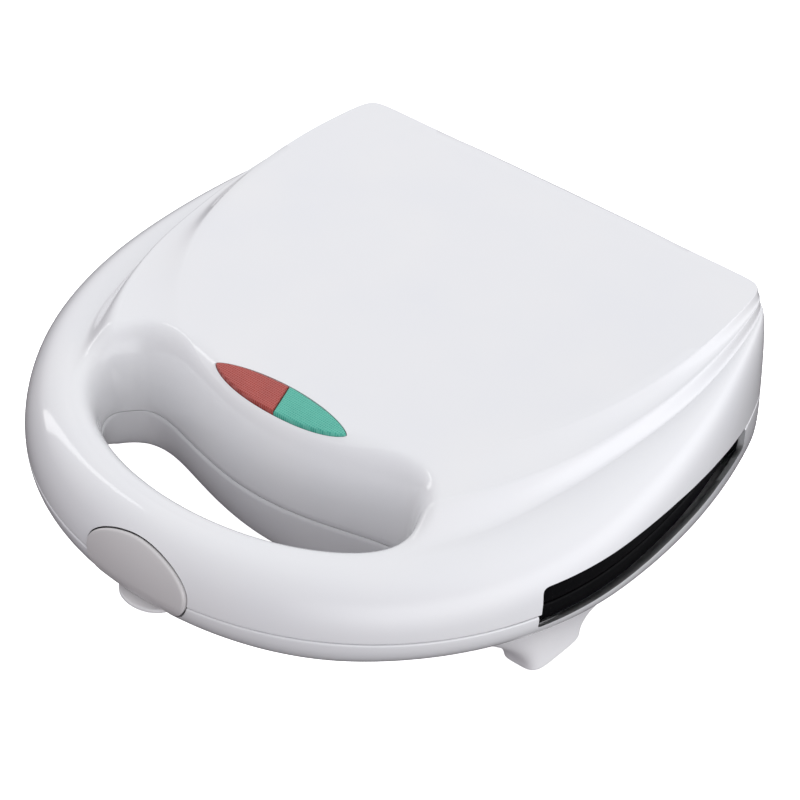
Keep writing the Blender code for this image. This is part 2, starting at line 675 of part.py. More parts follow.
def make_feet(model):
    for end, form in (("front", FRONT_FOOT), ("rear", REAR_FOOT)):
        for side, hand in ((1, "right"), (-1, "left")):
            model.add(f"{end}_foot_{hand}", foot_mesh(f"{end}_foot", form, side), "white_foot")
            x, y = form["low"][:2]
            centre = (side * x * MM, y * MM, PAD_THICKNESS / 2)
            pad = rod_mesh("foot_pad", centre, PAD_RADIUS, PAD_THICKNESS)
            model.add(f"{end}_foot_pad_{hand}", pad, "rubber")


# ---------------------------------------------------------------- mould plates and what heats them

def plate_outline(inset=0.0):
    """The plate follows the shells' sides and is cut straight in front of the handle opening."""
    phi = np.radians([-90, -75, -60, -48, -40, -34, -31, -29, -27, -24, -16, -6, 6, 18, 28, 34, 38, 41, 44,
                      48, 56, 70, 90])
    side = outer_edge(phi, PLATE_INSET + inset)
    slope = np.sin(phi)
    front = np.where(slope < -0.05, (PLATE_FRONT_Y + inset - CENTRE_Y) / np.minimum(slope, -0.05), 1.0)
    back = np.where(slope > 0.05, (PLATE_BACK_Y - inset - CENTRE_Y) / np.maximum(slope, 0.05), 1.0)
    radius = (side ** -26.0 + front ** -26.0 + back ** -26.0) ** (-1 / 26.0)
    right = list(zip(radius * np.cos(phi), CENTRE_Y + radius * np.sin(phi)))
    return right + [(-x, y) for x, y in right[-2:0:-1]]


def ring_places():
    rows = (RING_MID_Y - RING_PITCH / 2, RING_MID_Y + RING_PITCH / 2)
    return [(column * RING_PITCH, y) for column in (-1, 0, 1) for y in rows]


BOSS_PLACES = [(-30.0 * MM, RING_MID_Y), (30.0 * MM, RING_MID_Y)]
BOSS_RADIUS = 4.0 * MM
REFLECTOR_LOW = 19.6 * MM
REFLECTOR_THICKNESS = 0.8 * MM


def joined_mesh(name, pieces):
    """Several solids that don't touch, as the mesh of one cutting tool."""
    shape = bmesh.new()
    for piece in pieces:
        shape.from_mesh(piece)
    mesh = bpy.data.meshes.new(name)
    shape.to_mesh(mesh)
    shape.free()
    return mesh


def torus_mesh(name, centre, radius, tube_radius, segments=16, sides=8):
    bpy.ops.mesh.primitive_torus_add(major_radius=radius, minor_radius=tube_radius, major_segments=segments,
                                     minor_segments=sides, location=centre)
    ring = bpy.context.object
    mesh = ring.data
    mesh.transform(Matrix.Translation(centre))
    bpy.data.objects.remove(ring)
    mesh.name = name
    return mesh


def make_plate(model, name, sign, body):
    """A die-cast mould plate: flange, six ring cups, two screw bosses, and the ring moulds cut into them."""
    face = PARTING_Z + sign * FIT_GAP
    back = face + sign * FLANGE
    plate = model.add(name, prism_mesh(name, plate_outline(), *sorted((face, back))), "nonstick", body)
    cup_end = PARTING_Z + sign * CUP_DEPTH
    cups = []
    for x, y in ring_places():
        middle = (back - sign * MM + cup_end) / 2
        cups.append(rod_mesh("cup", (x, y, middle), CUP_RADIUS, abs(cup_end - back) + MM, "Z", 16))
    boss_end = PARTING_Z + sign * (REFLECTOR_LOW - FIT_GAP)
    for x, y in BOSS_PLACES:
        middle = (back - sign * MM + boss_end) / 2
        cups.append(rod_mesh("boss", (x, y, middle), BOSS_RADIUS, abs(boss_end - back) + MM, "Z", 10))
    combine(plate, model.cutter(f"{name}_cups", joined_mesh("cups", cups), body), 'UNION')
    rings = [torus_mesh("ring", (x, y, PARTING_Z), RING_RADIUS, RING_TUBE) for x, y in ring_places()]
    combine(plate, model.cutter(f"{name}_rings", joined_mesh("rings", rings), body), 'DIFFERENCE')
    tapped = [rod_mesh("tapped", (x, y, boss_end), 1.6 * MM, 20.0 * MM, "Z", 8) for x, y in BOSS_PLACES]
    combine(plate, model.cutter(f"{name}_tapped", joined_mesh("tapped", tapped), body), 'DIFFERENCE')


def make_plate_frame(model, name, sign, body):
    """A narrow frame behind the plate's edge, which closes the view through the side slots."""
    near = PARTING_Z + sign * (2 * FIT_GAP + FLANGE)
    far = PARTING_Z + sign * (LID_SKIRT if sign > 0 else BASE_SKIRT)
    ring = model.add(name, prism_mesh(name, plate_outline(), *sorted((near, far))), "nonstick", body)
    pocket = prism_mesh("pocket", plate_outline(SKIRT_WALL), *sorted((near - sign * MM, far + sign * MM)))
    combine(ring, model.cutter(f"{name}_pocket", pocket, body), 'DIFFERENCE')


def make_reflector(model, name, sign, body):
    """A thin tray behind the heater that throws its heat back at the plate."""
    low = PARTING_Z + sign * REFLECTOR_LOW
    high = low + sign * REFLECTOR_THICKNESS
    bottom, top = sorted((low, high))
    cut = 10.0 * MM
    half_x, low_y, high_y = 84.0 * MM, -28.0 * MM, 84.0 * MM
    right = [(half_x - cut, low_y), (half_x, low_y + cut), (half_x, high_y - cut), (half_x - cut, high_y)]
    outline = right + [(-x, y) for x, y in reversed(right)]
    sheet = model.add(name, prism_mesh(name, outline, bottom, top), "aluminium", body)
    holes = [rod_mesh("hole", (x, y, low), 1.9 * MM, 6.0 * MM, "Z", 10) for x, y in BOSS_PLACES]
    combine(sheet, model.cutter(f"{name}_holes", joined_mesh("holes", holes), body), 'DIFFERENCE')


def make_plate_screws(model, name, sign, body):
    """Screws that clamp the reflector to the plate's bosses, heads away from the plate."""
    profile = [(0.0, 2.2), (1.6, 2.0), (2.8, 0.9), (2.8, 0.0), (1.25, 0.0), (1.25, -8.5), (0.0, -9.3)]
    head = PARTING_Z + sign * (REFLECTOR_LOW + REFLECTOR_THICKNESS + 0.3 * MM)
    for (x, y), hand in zip(BOSS_PLACES, ("left", "right")):
        turned(model, f"{name}_{hand}", [(r * MM, z * MM) for r, z in profile], (x, y, head), "steel", body,
               segments=10, upside_down=sign < 0)


def rounded_route(corners, radius, steps=4):
    """Points of a route through corners, each rounded by an arc."""
    points = [corners[0]]
    for before, corner, after in zip(corners[:-2], corners[1:-1], corners[2:]):
        into = (before - corner).normalized() * radius
        away = (after - corner).normalized() * radius
        for i in range(steps + 1):
            t = i / steps
            points.append(corner + into * (1 - t) ** 2 + away * t ** 2)
    return points + [corners[-1]]


def make_heater(model, name, sign, body):
    """A sheathed element bent into a loop behind the ring cups; both ends come out at the back."""
    z = PARTING_Z + sign * 15.8 * MM
    path = [(-9, 88), (-9, 66), (-62, 66), (-62, -20), (62, -20), (62, 66), (9, 66), (9, 88)]
    corners = [Vector((x * MM, y * MM, z)) for x, y in path]
    tube(model, name, rounded_route(corners, 10.0 * MM), 3.1 * MM, "heater_metal", body)


# ---------------------------------------------------------------- electrical pieces

def make_electrics(model):
    deep = PARTING_Z - 12.0 * MM
    model.add("terminal_block", box_mesh("terminal_block", (-15 * MM, 88.6 * MM, deep - 5 * MM),
                                         (15 * MM, 94.5 * MM, deep + 4 * MM)), "ceramic")
    model.add("thermal_fuse", rod_mesh("thermal_fuse", (36 * MM, 93 * MM, deep), 2.4 * MM, 18 * MM, "X", 12),
              "aluminium")
    top = PARTING_Z + REFLECTOR_LOW + REFLECTOR_THICKNESS + 0.3 * MM
    profile = [(0.0, 10.0), (5.0, 9.6), (5.4, 9.0), (5.4, 4.0), (7.5, 3.8), (7.5, 0.0), (0.0, 0.0)]
    turned(model, "thermostat", [(r * MM, z * MM) for r, z in profile], (0.0, 58 * MM, top), "ceramic", "lid",
           segments=16)


def make_lamps(model):
    low = PARTING_Z + 19.0 * MM
    half, wall, depth = 5.0 * MM, 1.2 * MM, 8.0 * MM
    holder_y = LENS_Y + 3.2 * MM
    section = [(-half, 0.0), (half, 0.0), (half, depth), (half - wall, depth), (half - wall, wall),
               (wall - half, wall), (wall - half, depth), (-half, depth)]
    outline = [(holder_y + y, low + z) for y, z in section]
    model.add("lamp_holder", prism_mesh("lamp_holder", outline, -19 * MM, 19 * MM, "X"), "ceramic", "lid")
    for side, colour in ((-1, "red"), (1, "green")):
        centre = (side * 10 * MM, holder_y, low + 4.4 * MM)
        model.add(f"neon_lamp_{colour}", rod_mesh("lamp", centre, 2.3 * MM, 12 * MM, "X", 12), "lamp_glass",
                  "lid")
        low_share, high_share = (-1.0, -0.006) if side < 0 else (0.006, 1.0)
        outline = lens_outline(0.0, low_share, high_share, 9)
        top = [plateau_height(np.array(y)) + PARTING_Z + 0.4 * MM for _, y in outline]
        lens = prism_mesh(f"lens_{colour}", outline, PARTING_Z + 28.6 * MM, max(top))
        for vertex in lens.vertices:
            if vertex.co.z > PARTING_Z + 30.0 * MM:
                vertex.co.z = PARTING_Z + float(plateau_height(np.array(vertex.co.y))) + 0.4 * MM
        model.add(f"lens_{colour}", lens, f"{colour}_lens", "lid")


# ---------------------------------------------------------------- latch

def front_edge_y(x):
    """The handle's front line at the parting plane."""
    share = np.abs(x) / HALF_WIDTH
    return WIDEST_Y + (FRONT_Y - WIDEST_Y) * (1.0 - share ** 2.08) ** (1 / 2.08)


LATCH_INWARD = 14.4 * MM
LATCH_UPPER_RISE = 22.0 * MM
LATCH_LOWER_RISE = 11.8 * MM
LATCH_THICKNESS = 2.4 * MM


def latch_face_mesh(name):
    """Half-moon face that follows the handle's section, a little proud of it and turned in below."""
    top_turn = math.asin(LATCH_TOP / LATCH_UPPER_RISE)
    turn = np.concatenate([top_turn * (1 - np.linspace(0, 1, 8) ** 2), -np.radians([12, 24, 36, 46, 52])])
    rise = np.where(turn > 0, LATCH_UPPER_RISE, LATCH_LOWER_RISE)
    height = rise * np.sin(turn)
    columns = np.sin(np.linspace(-math.pi / 2, math.pi / 2, 7))
    lean = np.stack([-np.cos(turn) / LATCH_INWARD, np.sin(turn) / rise], axis=-1)
    lean = lean / np.linalg.norm(lean, axis=-1, keepdims=True)
    reach = np.where(turn > 0, height, height + LATCH_PROUD * lean[:, 1])
    x = latch_half_width(reach)[:, None] * columns
    surface_y = front_edge_y(x) + LATCH_INWARD * (1.0 - np.cos(turn))[:, None]
    surface_z = PARTING_Z + np.repeat(height[:, None], len(columns), axis=1)
    shape = bmesh.new()
    skins = []
    for offset in (LATCH_PROUD, LATCH_PROUD - LATCH_THICKNESS):
        y = surface_y + offset * lean[:, :1]
        z = surface_z + offset * lean[:, 1:]
        skins.append([[shape.verts.new(point) for point in row] for row in np.stack([x, y, z], axis=-1)])
    for skin in skins:
        for upper, lower in zip(skin[:-1], skin[1:]):
            for i in range(len(upper) - 1):
                shape.faces.new([upper[i], upper[i + 1], lower[i + 1], lower[i]])
    rings = [skin[0] + [row[-1] for row in skin[1:]] + skin[-1][-2::-1] + [row[0] for row in skin[-2:0:-1]]
             for skin in skins]
    grid_faces(shape, rings)
    bmesh.ops.remove_doubles(shape, verts=shape.verts, dist=0.02 * MM)
    bmesh.ops.triangulate(shape, faces=shape.faces)
    return finish_mesh(name, shape)


def make_latch(model):
    latch = model.add("latch", latch_face_mesh("latch"), "grey_latch", "latch")
    arc = np.linspace(0.0, math.pi, 13)
    lip = [(11.8 * MM * math.cos(t), (-110.5 - 8.8 * math.sin(t)) * MM) for t in arc]
    grip = prism_mesh("grip", lip, PARTING_Z - 10.2 * MM, PARTING_Z - 8.4 * MM)
    combine(latch, model.cutter("latch_grip", grip, "latch"), 'UNION')
    for side, name in ((-1, "left"), (1, "right")):
        low_x, high_x = sorted((side * 7.0 * MM, side * 10.0 * MM))
        turn = np.linspace(-math.pi / 2, math.pi / 2, 7)
        knob = [(LATCH_PIN_Y + 2.7 * MM * math.cos(t), LATCH_PIN_Z + 2.7 * MM * math.sin(t)) for t in turn]
        arm = knob + [(-114.3 * MM, LATCH_PIN_Z + 2.0 * MM), (-115.9 * MM, LATCH_PIN_Z - 3.2 * MM)]
        combine(latch, model.cutter(f"latch_arm_{name}", prism_mesh("arm", arm, low_x, high_x, "X"), "latch"),
                'UNION')
    hole = rod_mesh("pin_hole", (0.0, LATCH_PIN_Y, LATCH_PIN_Z), LATCH_PIN_RADIUS + FIT_GAP, 30 * MM, "X", 10)
    combine(latch, model.cutter("latch_pin_hole", hole, "latch"), 'DIFFERENCE')
    pin = rod_mesh("pin", (0.0, LATCH_PIN_Y, LATCH_PIN_Z), LATCH_PIN_RADIUS, 28 * MM, "X", 12)
    model.add("latch_pin", pin, "steel", "lid")
    for side, name in ((-1, "left"), (1, "right")):
        near, far = sorted((side * 14.4 * MM, side * 17.4 * MM))
        bracket = box_mesh("bracket", (near, LATCH_PIN_Y - 0.6 * MM, LATCH_PIN_Z - 3.0 * MM),
                           (far, LATCH_PIN_Y + 3.4 * MM, LATCH_PIN_Z + 2.2 * MM))
        model.add(f"latch_bracket_{name}", bracket, "white_shell", "lid")
    turns, per_turn, coil = 4, 7, 2.4 * MM
    angles = np.linspace(0.0, turns * 2 * math.pi, turns * per_turn + 1)
    points = [(-5.0 * MM + 10.0 * MM * i / (len(angles) - 1), LATCH_PIN_Y + coil * math.cos(a),
               LATCH_PIN_Z + coil * math.sin(a)) for i, a in enumerate(angles)]
    tube(model, "latch_spring", points, 0.4 * MM, "steel", "lid")
    catch = box_mesh("catch", (-8 * MM, -109.6 * MM, PARTING_Z - 10.0 * MM),
                     (8 * MM, -107.6 * MM, PARTING_Z - 4.0 * MM))
    model.add("latch_catch", catch, "white_shell")


def main():
    model = Model()
    make_base_shell(model)
    make_feet(model)
    make_cord_inlet(model)
    make_lid_shell(model)
    make_hinge_pins(model)
    for name, sign, body in (("lower", -1, "base"), ("upper", 1, "lid")):
        make_handle_cover(model, f"{name}_handle_cover", sign, body)
        make_plate(model, f"{name}_plate", sign, body)
        make_plate_frame(model, f"{name}_plate_frame", sign, body)
        make_heater(model, f"{name}_heater", sign, body)
        make_reflector(model, f"{name}_reflector", sign, body)
        make_plate_screws(model, f"{name}_plate_screw", sign, body)
    make_electrics(model)
    make_lamps(model)
    make_latch(model)
    bpy.context.view_layer.update()


main()
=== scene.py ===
"""Looks of an electric donut maker for the worktop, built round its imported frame.

Two moulded shells form one carrying ring round a finger opening. The lid carries the lamp window and the
sprung latch, and between the shells lie two ring-mould plates. Sizes are in millimetres; heights are over
the worktop, and the shells meet at PARTING_Z.
"""
import logging
import math
from dataclasses import dataclass, field
from enum import Enum

import bmesh
import bpy
import numpy as np
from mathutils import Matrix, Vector


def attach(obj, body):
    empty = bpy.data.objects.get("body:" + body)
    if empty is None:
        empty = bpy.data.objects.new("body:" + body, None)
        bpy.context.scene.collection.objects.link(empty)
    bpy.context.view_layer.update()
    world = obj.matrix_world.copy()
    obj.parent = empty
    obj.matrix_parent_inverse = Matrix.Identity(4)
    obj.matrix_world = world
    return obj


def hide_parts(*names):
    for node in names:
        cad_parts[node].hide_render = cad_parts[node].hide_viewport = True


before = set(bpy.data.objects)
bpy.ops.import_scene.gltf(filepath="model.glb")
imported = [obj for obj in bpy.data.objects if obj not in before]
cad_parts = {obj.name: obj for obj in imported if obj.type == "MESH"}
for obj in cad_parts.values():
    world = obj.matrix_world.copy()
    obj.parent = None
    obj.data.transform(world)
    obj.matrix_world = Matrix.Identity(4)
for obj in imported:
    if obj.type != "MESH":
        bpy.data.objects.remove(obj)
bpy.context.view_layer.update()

LOG = logging.getLogger("donut_maker")

MM = 0.001
SHIFT_Y = -0.15          # places the drawing's origin over the middle of the object
PARTING_Z = 38.5
CENTRE_Y = 20.0          # every ray of the shells starts here
WALL = 2.4
SEAM = 0.15              # half of the gap between the shells
HOLE_RAYS = 56           # rays from the front of the handle to the opening's end
CREASE_DEGREES = 42.0    # edges that bend more than this stay sharp
EDGE_ROWS = 7            # rows round the edge of a slab
THIN = 0.001             # edge radius of a cutting solid

Array = np.ndarray
Socket = bpy.types.NodeSocket


# ---------------------------------------------------------------- finishes

class Grain(Enum):
    """What breaks up a finish at close range."""

    GLOSS = "faint ripple of a polished mould"
    MATT = "fine pits of a spark-eroded mould"
    SPECKLE = "sprayed coating with pale flecks"
    DRAWN = "fine lines left by drawing or rolling"
    DOTS = "hexagonal dots moulded under a clear face"


@dataclass(frozen=True)
class Finish:
    """One procedural finish.

    Colour drifts from `colour` to `second` over patches `drift_mm` wide, and the grain has features of
    `grain_mm` that stand `relief_mm` high.
    """

    name: str
    colour: tuple[float, float, float]
    second: tuple[float, float, float]
    roughness: tuple[float, float]
    grain: Grain
    grain_mm: float
    relief_mm: float
    drift_mm: float = 40.0
    metallic: float = 0.0
    coat: float = 0.0
    transmission: float = 0.0
    specular: float = 0.5

    def material(self) -> bpy.types.Material:
        """The finish as a node material, made once.

        Returns:
            The material named after the finish.
        """
        made = bpy.data.materials.get(self.name)
        if made is not None:
            return made
        made = bpy.data.materials.new(self.name)
        made.use_nodes = True
        sheet = NodeSheet(made.node_tree)
        place = sheet.add("ShaderNodeTexCoord").outputs["Object"]
        drift = sheet.spread(sheet.noise(place, self.drift_mm, 2.0), 0.3, 0.7, 0.0, 1.0)
        grain = self.grain_field(sheet, place)
        tone = sheet.mix_colour(drift, self.colour, self.second)
        if self.grain is Grain.SPECKLE:
            fleck = sheet.spread(sheet.noise(place, self.grain_mm * 1.7, 1.0), 0.66, 0.74, 0.0, 0.5)
            tone = sheet.mix_colour(fleck, tone, (0.03, 0.03, 0.033))
        if self.grain is Grain.DOTS:
            lit = tuple(min(1.0, 0.12 + 1.25 * value) for value in self.colour)
            tone = sheet.mix_colour(sheet.spread(grain, 0.12, 0.5, 0.0, 0.55), tone, lit)
        relief = self.relief_mm * MM
        bump = sheet.add("ShaderNodeBump", {"Strength": 1.0, "Distance": relief, "Height": grain})
        sheet.fill(made.node_tree.nodes["Principled BSDF"], {
            "Base Color": tone, "Roughness": sheet.spread(grain, 0.2, 0.8, *self.roughness),
            "Normal": bump.outputs["Normal"], "Metallic": self.metallic, "Coat Weight": self.coat,
            "Coat Roughness": 0.04, "Specular IOR Level": self.specular,
            "Transmission Weight": self.transmission})
        return made

    def grain_field(self, sheet: "NodeSheet", place: Socket) -> Socket:
        """Height of the grain, from 0 to 1.

        Args:
            sheet: node tree that the nodes go into.
            place: coordinates that the grain is laid out on.

        Returns:
            The socket that carries the height.
        """
        if self.grain is Grain.DRAWN:
            return sheet.noise(sheet.stretched(place, (0.04, 1.0, 1.0)), self.grain_mm, 2.0)
        if self.grain is Grain.DOTS:
            cell = sheet.add("ShaderNodeTexVoronoi", {
                "Scale": 1.0 / (self.grain_mm * MM), "Randomness": 0.15,
                "Vector": sheet.stretched(place, (1.0, 1.0, 0.0))})
            return cell.outputs["Distance"]
        return sheet.noise(place, self.grain_mm, 1.0 if self.grain is Grain.GLOSS else 4.0)


class NodeSheet:
    """Adds the nodes that the finishes share to one node tree."""

    def __init__(self, tree: bpy.types.NodeTree) -> None:
        """Keeps the tree that the nodes go into."""
        self.tree = tree

    def fill(self, node: bpy.types.Node, inputs: dict[str | int, object]) -> bpy.types.Node:
        """Fills a node's inputs: a socket is linked, and any other value is set.

        Args:
            node: the node.
            inputs: what goes into each input, by its name or number.

        Returns:
            The node.
        """
        for name, value in inputs.items():
            if isinstance(value, Socket):
                self.tree.links.new(value, node.inputs[name])
            else:
                node.inputs[name].default_value = value
        return node

    def add(self, kind: str, inputs: dict[str | int, object] | None = None) -> bpy.types.Node:
        """Adds one node of a kind with its inputs filled."""
        return self.fill(self.tree.nodes.new(kind), inputs or {})

    def noise(self, place: Socket, size_mm: float, detail: float) -> Socket:
        """Cloudy field round 0.5 with features of a size and a number of finer layers."""
        inputs = {"Scale": 1.0 / (size_mm * MM), "Detail": detail, "Vector": place}
        return self.add("ShaderNodeTexNoise", inputs).outputs["Fac"]

    def stretched(self, place: Socket, scale: tuple[float, float, float]) -> Socket:
        """Coordinates scaled along each axis."""
        return self.add("ShaderNodeMapping", {"Scale": scale, "Vector": place}).outputs["Vector"]

    def spread(self, value: Socket, low: float, high: float, start: float, end: float) -> Socket:
        """Maps low..high to start..end and clips outside."""
        limits = {"From Min": low, "From Max": high, "To Min": start, "To Max": end}
        return self.add("ShaderNodeMapRange", {**limits, "Value": value}).outputs["Result"]

    def times(self, first: Socket, second: Socket) -> Socket:
        """Product of two values."""
        node = self.add("ShaderNodeMath", {0: first, 1: second})
        node.operation = "MULTIPLY"
        return node.outputs["Value"]

    def mix_colour(self, share: Socket, first: object, second: object) -> Socket:
        """Mixes two colours, each a socket or three numbers, by a share.

        Args:
            share: socket with the share of the second colour.
            first: first colour.
            second: second colour.

        Returns:
            Socket with the mixed colour.
        """
        node = self.add("ShaderNodeMix")
        node.data_type = "RGBA"
        first_in, second_in = (socket for socket in node.inputs if socket.type == "RGBA")
        self.fill(node, {"Factor": share})
        for socket, tone in ((first_in, first), (second_in, second)):
            if isinstance(tone, tuple):
                socket.default_value = (*tone, 1.0)
            else:
                self.tree.links.new(tone, socket)
        return next(socket for socket in node.outputs if socket.type == "RGBA")


WHITE_SHELL = Finish(
    "white_shell_gloss", (0.80, 0.81, 0.83), (0.82, 0.825, 0.835), (0.10, 0.15), Grain.GLOSS, 7.0, 0.004,
    coat=0.5)
WHITE_INSIDE = Finish(
    "white_inside_satin", (0.78, 0.79, 0.80), (0.80, 0.80, 0.81), (0.38, 0.46), Grain.MATT, 0.5, 0.01)
WHITE_FOOT = Finish(
    "white_foot_matt", (0.80, 0.80, 0.815), (0.83, 0.83, 0.84), (0.42, 0.52), Grain.MATT, 0.45, 0.012)
GREY_LATCH = Finish(
    "grey_latch_satin", (0.60, 0.585, 0.585), (0.625, 0.61, 0.61), (0.30, 0.40), Grain.MATT, 0.35, 0.006)
# The grip is moulded in the latch's grey. This paler copy of that grey is painted light: it lifts the shade
# that falls on the grip under the latch face.
LATCH_GREY_LIGHTENED_FOR_SHADE = Finish(
    "latch_grey_painted_light_satin", (0.74, 0.735, 0.74), (0.77, 0.765, 0.77), (0.32, 0.42), Grain.MATT, 0.35, 0.006)
NON_STICK = Finish(
    "black_non_stick", (0.002, 0.002, 0.0025), (0.004, 0.004, 0.0045), (0.34, 0.5), Grain.SPECKLE, 0.35,
    0.012, specular=0.07)
PAD_RUBBER = Finish(
    "black_pad_rubber", (0.035, 0.035, 0.036), (0.055, 0.054, 0.053), (0.72, 0.88), Grain.MATT, 0.6, 0.03)
RED_LENS = Finish(
    "red_lens_dotted", (0.36, 0.040, 0.026), (0.29, 0.030, 0.022), (0.26, 0.38), Grain.DOTS, 0.85, 0.05,
    drift_mm=9.0, coat=0.1, specular=0.25)
GREEN_LENS = Finish(
    "green_lens_dotted", (0.055, 0.40, 0.30), (0.04, 0.33, 0.25), (0.26, 0.38), Grain.DOTS, 0.85, 0.05,
    drift_mm=9.0, coat=0.1, specular=0.25)
ZINC_STEEL = Finish(
    "zinc_plated_steel", (0.60, 0.60, 0.61), (0.52, 0.52, 0.50), (0.24, 0.38), Grain.DRAWN, 0.5, 0.004,
    metallic=1.0)
ROLLED_ALUMINIUM = Finish(
    "rolled_aluminium", (0.76, 0.77, 0.78), (0.70, 0.71, 0.72), (0.22, 0.36), Grain.DRAWN, 0.7, 0.004,
    metallic=1.0)
HEATER_SHEATH = Finish(
    "oxidised_sheath", (0.20, 0.185, 0.17), (0.10, 0.095, 0.10), (0.42, 0.60), Grain.MATT, 0.8, 0.02,
    metallic=1.0)
CERAMIC = Finish("cream_ceramic", (0.80, 0.77, 0.70), (0.74, 0.71, 0.64), (0.50, 0.66), Grain.MATT, 0.5, 0.02)
LAMP_GLASS = Finish(
    "lamp_glass", (0.95, 0.80, 0.70), (0.95, 0.74, 0.62), (0.04, 0.08), Grain.GLOSS, 4.0, 0.003,
    transmission=0.8)
BLACK_MOULDING = Finish(
    "black_moulding", (0.022, 0.022, 0.023), (0.034, 0.034, 0.035), (0.42, 0.55), Grain.MATT, 0.4, 0.012)


# ---------------------------------------------------------------- surfaces

class Surface:
    """Grids of points, in millimetres, that are welded into one piece."""

    def __init__(self, name: str) -> None:
        """Starts an empty piece.

        Args:
            name: name of the piece's mesh.
        """
        self.name = name
        self.points: list[Array] = []
        self.quads: list[Array] = []
        self.count = 0

    def patch(self, grid: Array, wrap: bool = True) -> "Surface":
        """Adds a grid of points and the faces between neighbouring rows and columns.

        Args:
            grid: points, rows by columns by 3.
            wrap: whether the last column joins the first.

        Returns:
            The surface itself, so that calls can follow each other.
        """
        rows, columns = grid.shape[:2]
        index = np.arange(rows * columns).reshape(rows, columns) + self.count
        if wrap:
            index = np.concatenate([index, index[:, :1]], axis=1)
        quads = np.stack([index[:-1, :-1], index[:-1, 1:], index[1:, 1:], index[1:, :-1]], axis=-1)
        self.points.append(grid.reshape(-1, 3))
        self.quads.append(quads.reshape(-1, 4))
        self.count += rows * columns
        return self
    def lay(self, x: Array | float, y: Array | float, z: Array | float) -> "Surface":
        """Adds the closed grid of points with these coordinates, which may be single numbers or columns."""
        return self.patch(np.stack(np.broadcast_arrays(x, y, z), axis=-1))

    def mesh(self, weld_mm: float = 0.004, sharp_degrees: float = CREASE_DEGREES) -> bpy.types.Mesh:
        """Welds the grids, turns the faces outwards and shades round parts smooth.

        Args:
            weld_mm: distance under which points become one.
            sharp_degrees: angle from which an edge stays sharp.

        Returns:
            The finished mesh, in metres in the frame's place.
        """
        mesh = bpy.data.meshes.new(self.name)
        points = (np.concatenate(self.points) + np.array([0.0, SHIFT_Y, 0.0])) * MM
        quads = np.concatenate(self.quads)
        mesh.vertices.add(len(points))
        mesh.vertices.foreach_set("co", points.astype(np.float32).ravel())
        mesh.loops.add(quads.size)
        mesh.loops.foreach_set("vertex_index", quads.astype(np.int32).ravel())
        mesh.polygons.add(len(quads))
        mesh.polygons.foreach_set("loop_start", np.arange(0, quads.size, 4, dtype=np.int32))
        mesh.update(calc_edges=True)
        shape = bmesh.new()
        shape.from_mesh(mesh)
        bmesh.ops.remove_doubles(shape, verts=shape.verts, dist=weld_mm * MM)
        bmesh.ops.dissolve_degenerate(shape, edges=shape.edges, dist=1e-7)
        bmesh.ops.recalc_face_normals(shape, faces=shape.faces)
        if shape.calc_volume(signed=True) < 0.0:
            bmesh.ops.reverse_faces(shape, faces=shape.faces)
        shape.to_mesh(mesh)
        shape.free()
        mesh.shade_smooth()
        mesh.set_sharp_from_angle(angle=math.radians(sharp_degrees))
        return mesh


def add_object(name: str, mesh: bpy.types.Mesh) -> bpy.types.Object:
    """Links a new object with a mesh into the scene."""
    piece = bpy.data.objects.new(name, mesh)
    bpy.context.scene.collection.objects.link(piece)
    return piece


def dress(piece: bpy.types.Object, finish: Finish, body: str, slot: str, *stands_for: str) -> None:
    """Gives a new piece its finish, its body and the nodes that it stands for, and reports it.

    Args:
        piece: the finished object.
        finish: what it is covered with.
        body: body that it moves with.
        slot: the record's material slot; not used.
        *stands_for: nodes of the frame that it replaces.
    """
    piece.data.materials.clear()
    piece.data.materials.append(finish.material())
    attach(piece, body)
    if stands_for:
        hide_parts(*stands_for)
    LOG.info("%s: %d faces, %s, rides on %s", piece.name, len(piece.data.polygons), finish.name, body)


def cut_with(piece: bpy.types.Object, *tools: bpy.types.Mesh) -> None:
    """Cuts solids out of a piece and keeps the result as its mesh.

    Args:
        piece: object that is cut.
        *tools: closed meshes that are taken away from it.
    """
    cutters = [add_object(f"{piece.name}_cutter", tool) for tool in tools]
    for cutter in cutters:
        modifier = piece.modifiers.new("cut", "BOOLEAN")
        modifier.operation = "DIFFERENCE"
        modifier.solver = "MANIFOLD"
        modifier.object = cutter
    bpy.context.view_layer.update()
    ready = piece.evaluated_get(bpy.context.evaluated_depsgraph_get())
    mesh = bpy.data.meshes.new_from_object(ready)
    piece.modifiers.clear()
    piece.data = mesh
    for cutter in cutters:
        bpy.data.objects.remove(cutter)
    mesh.shade_smooth()
    mesh.set_sharp_from_angle(angle=math.radians(CREASE_DEGREES))


def ease(share: Array) -> Array:
    """Smooth step: 3 t squared less 2 t cubed, with t clipped to 0..1."""
    share = np.clip(share, 0.0, 1.0)
    return share * share * (3.0 - 2.0 * share)


def roll_off(share: Array) -> Array:
    """Fall that begins in a small rounded crease and flattens out: u (2 - u), u being the softened share.

    Args:
        share: share of the way down, clipped to 0..1.

    Returns:
        Share of the fall, in the shape of the input.
    """
    share = np.clip(share, 0.0, 1.0)
    bend = 0.07
    start = (share - bend * (1.0 - np.exp(-share / bend))) / (1.0 - bend)
    return start * (2.0 - start)


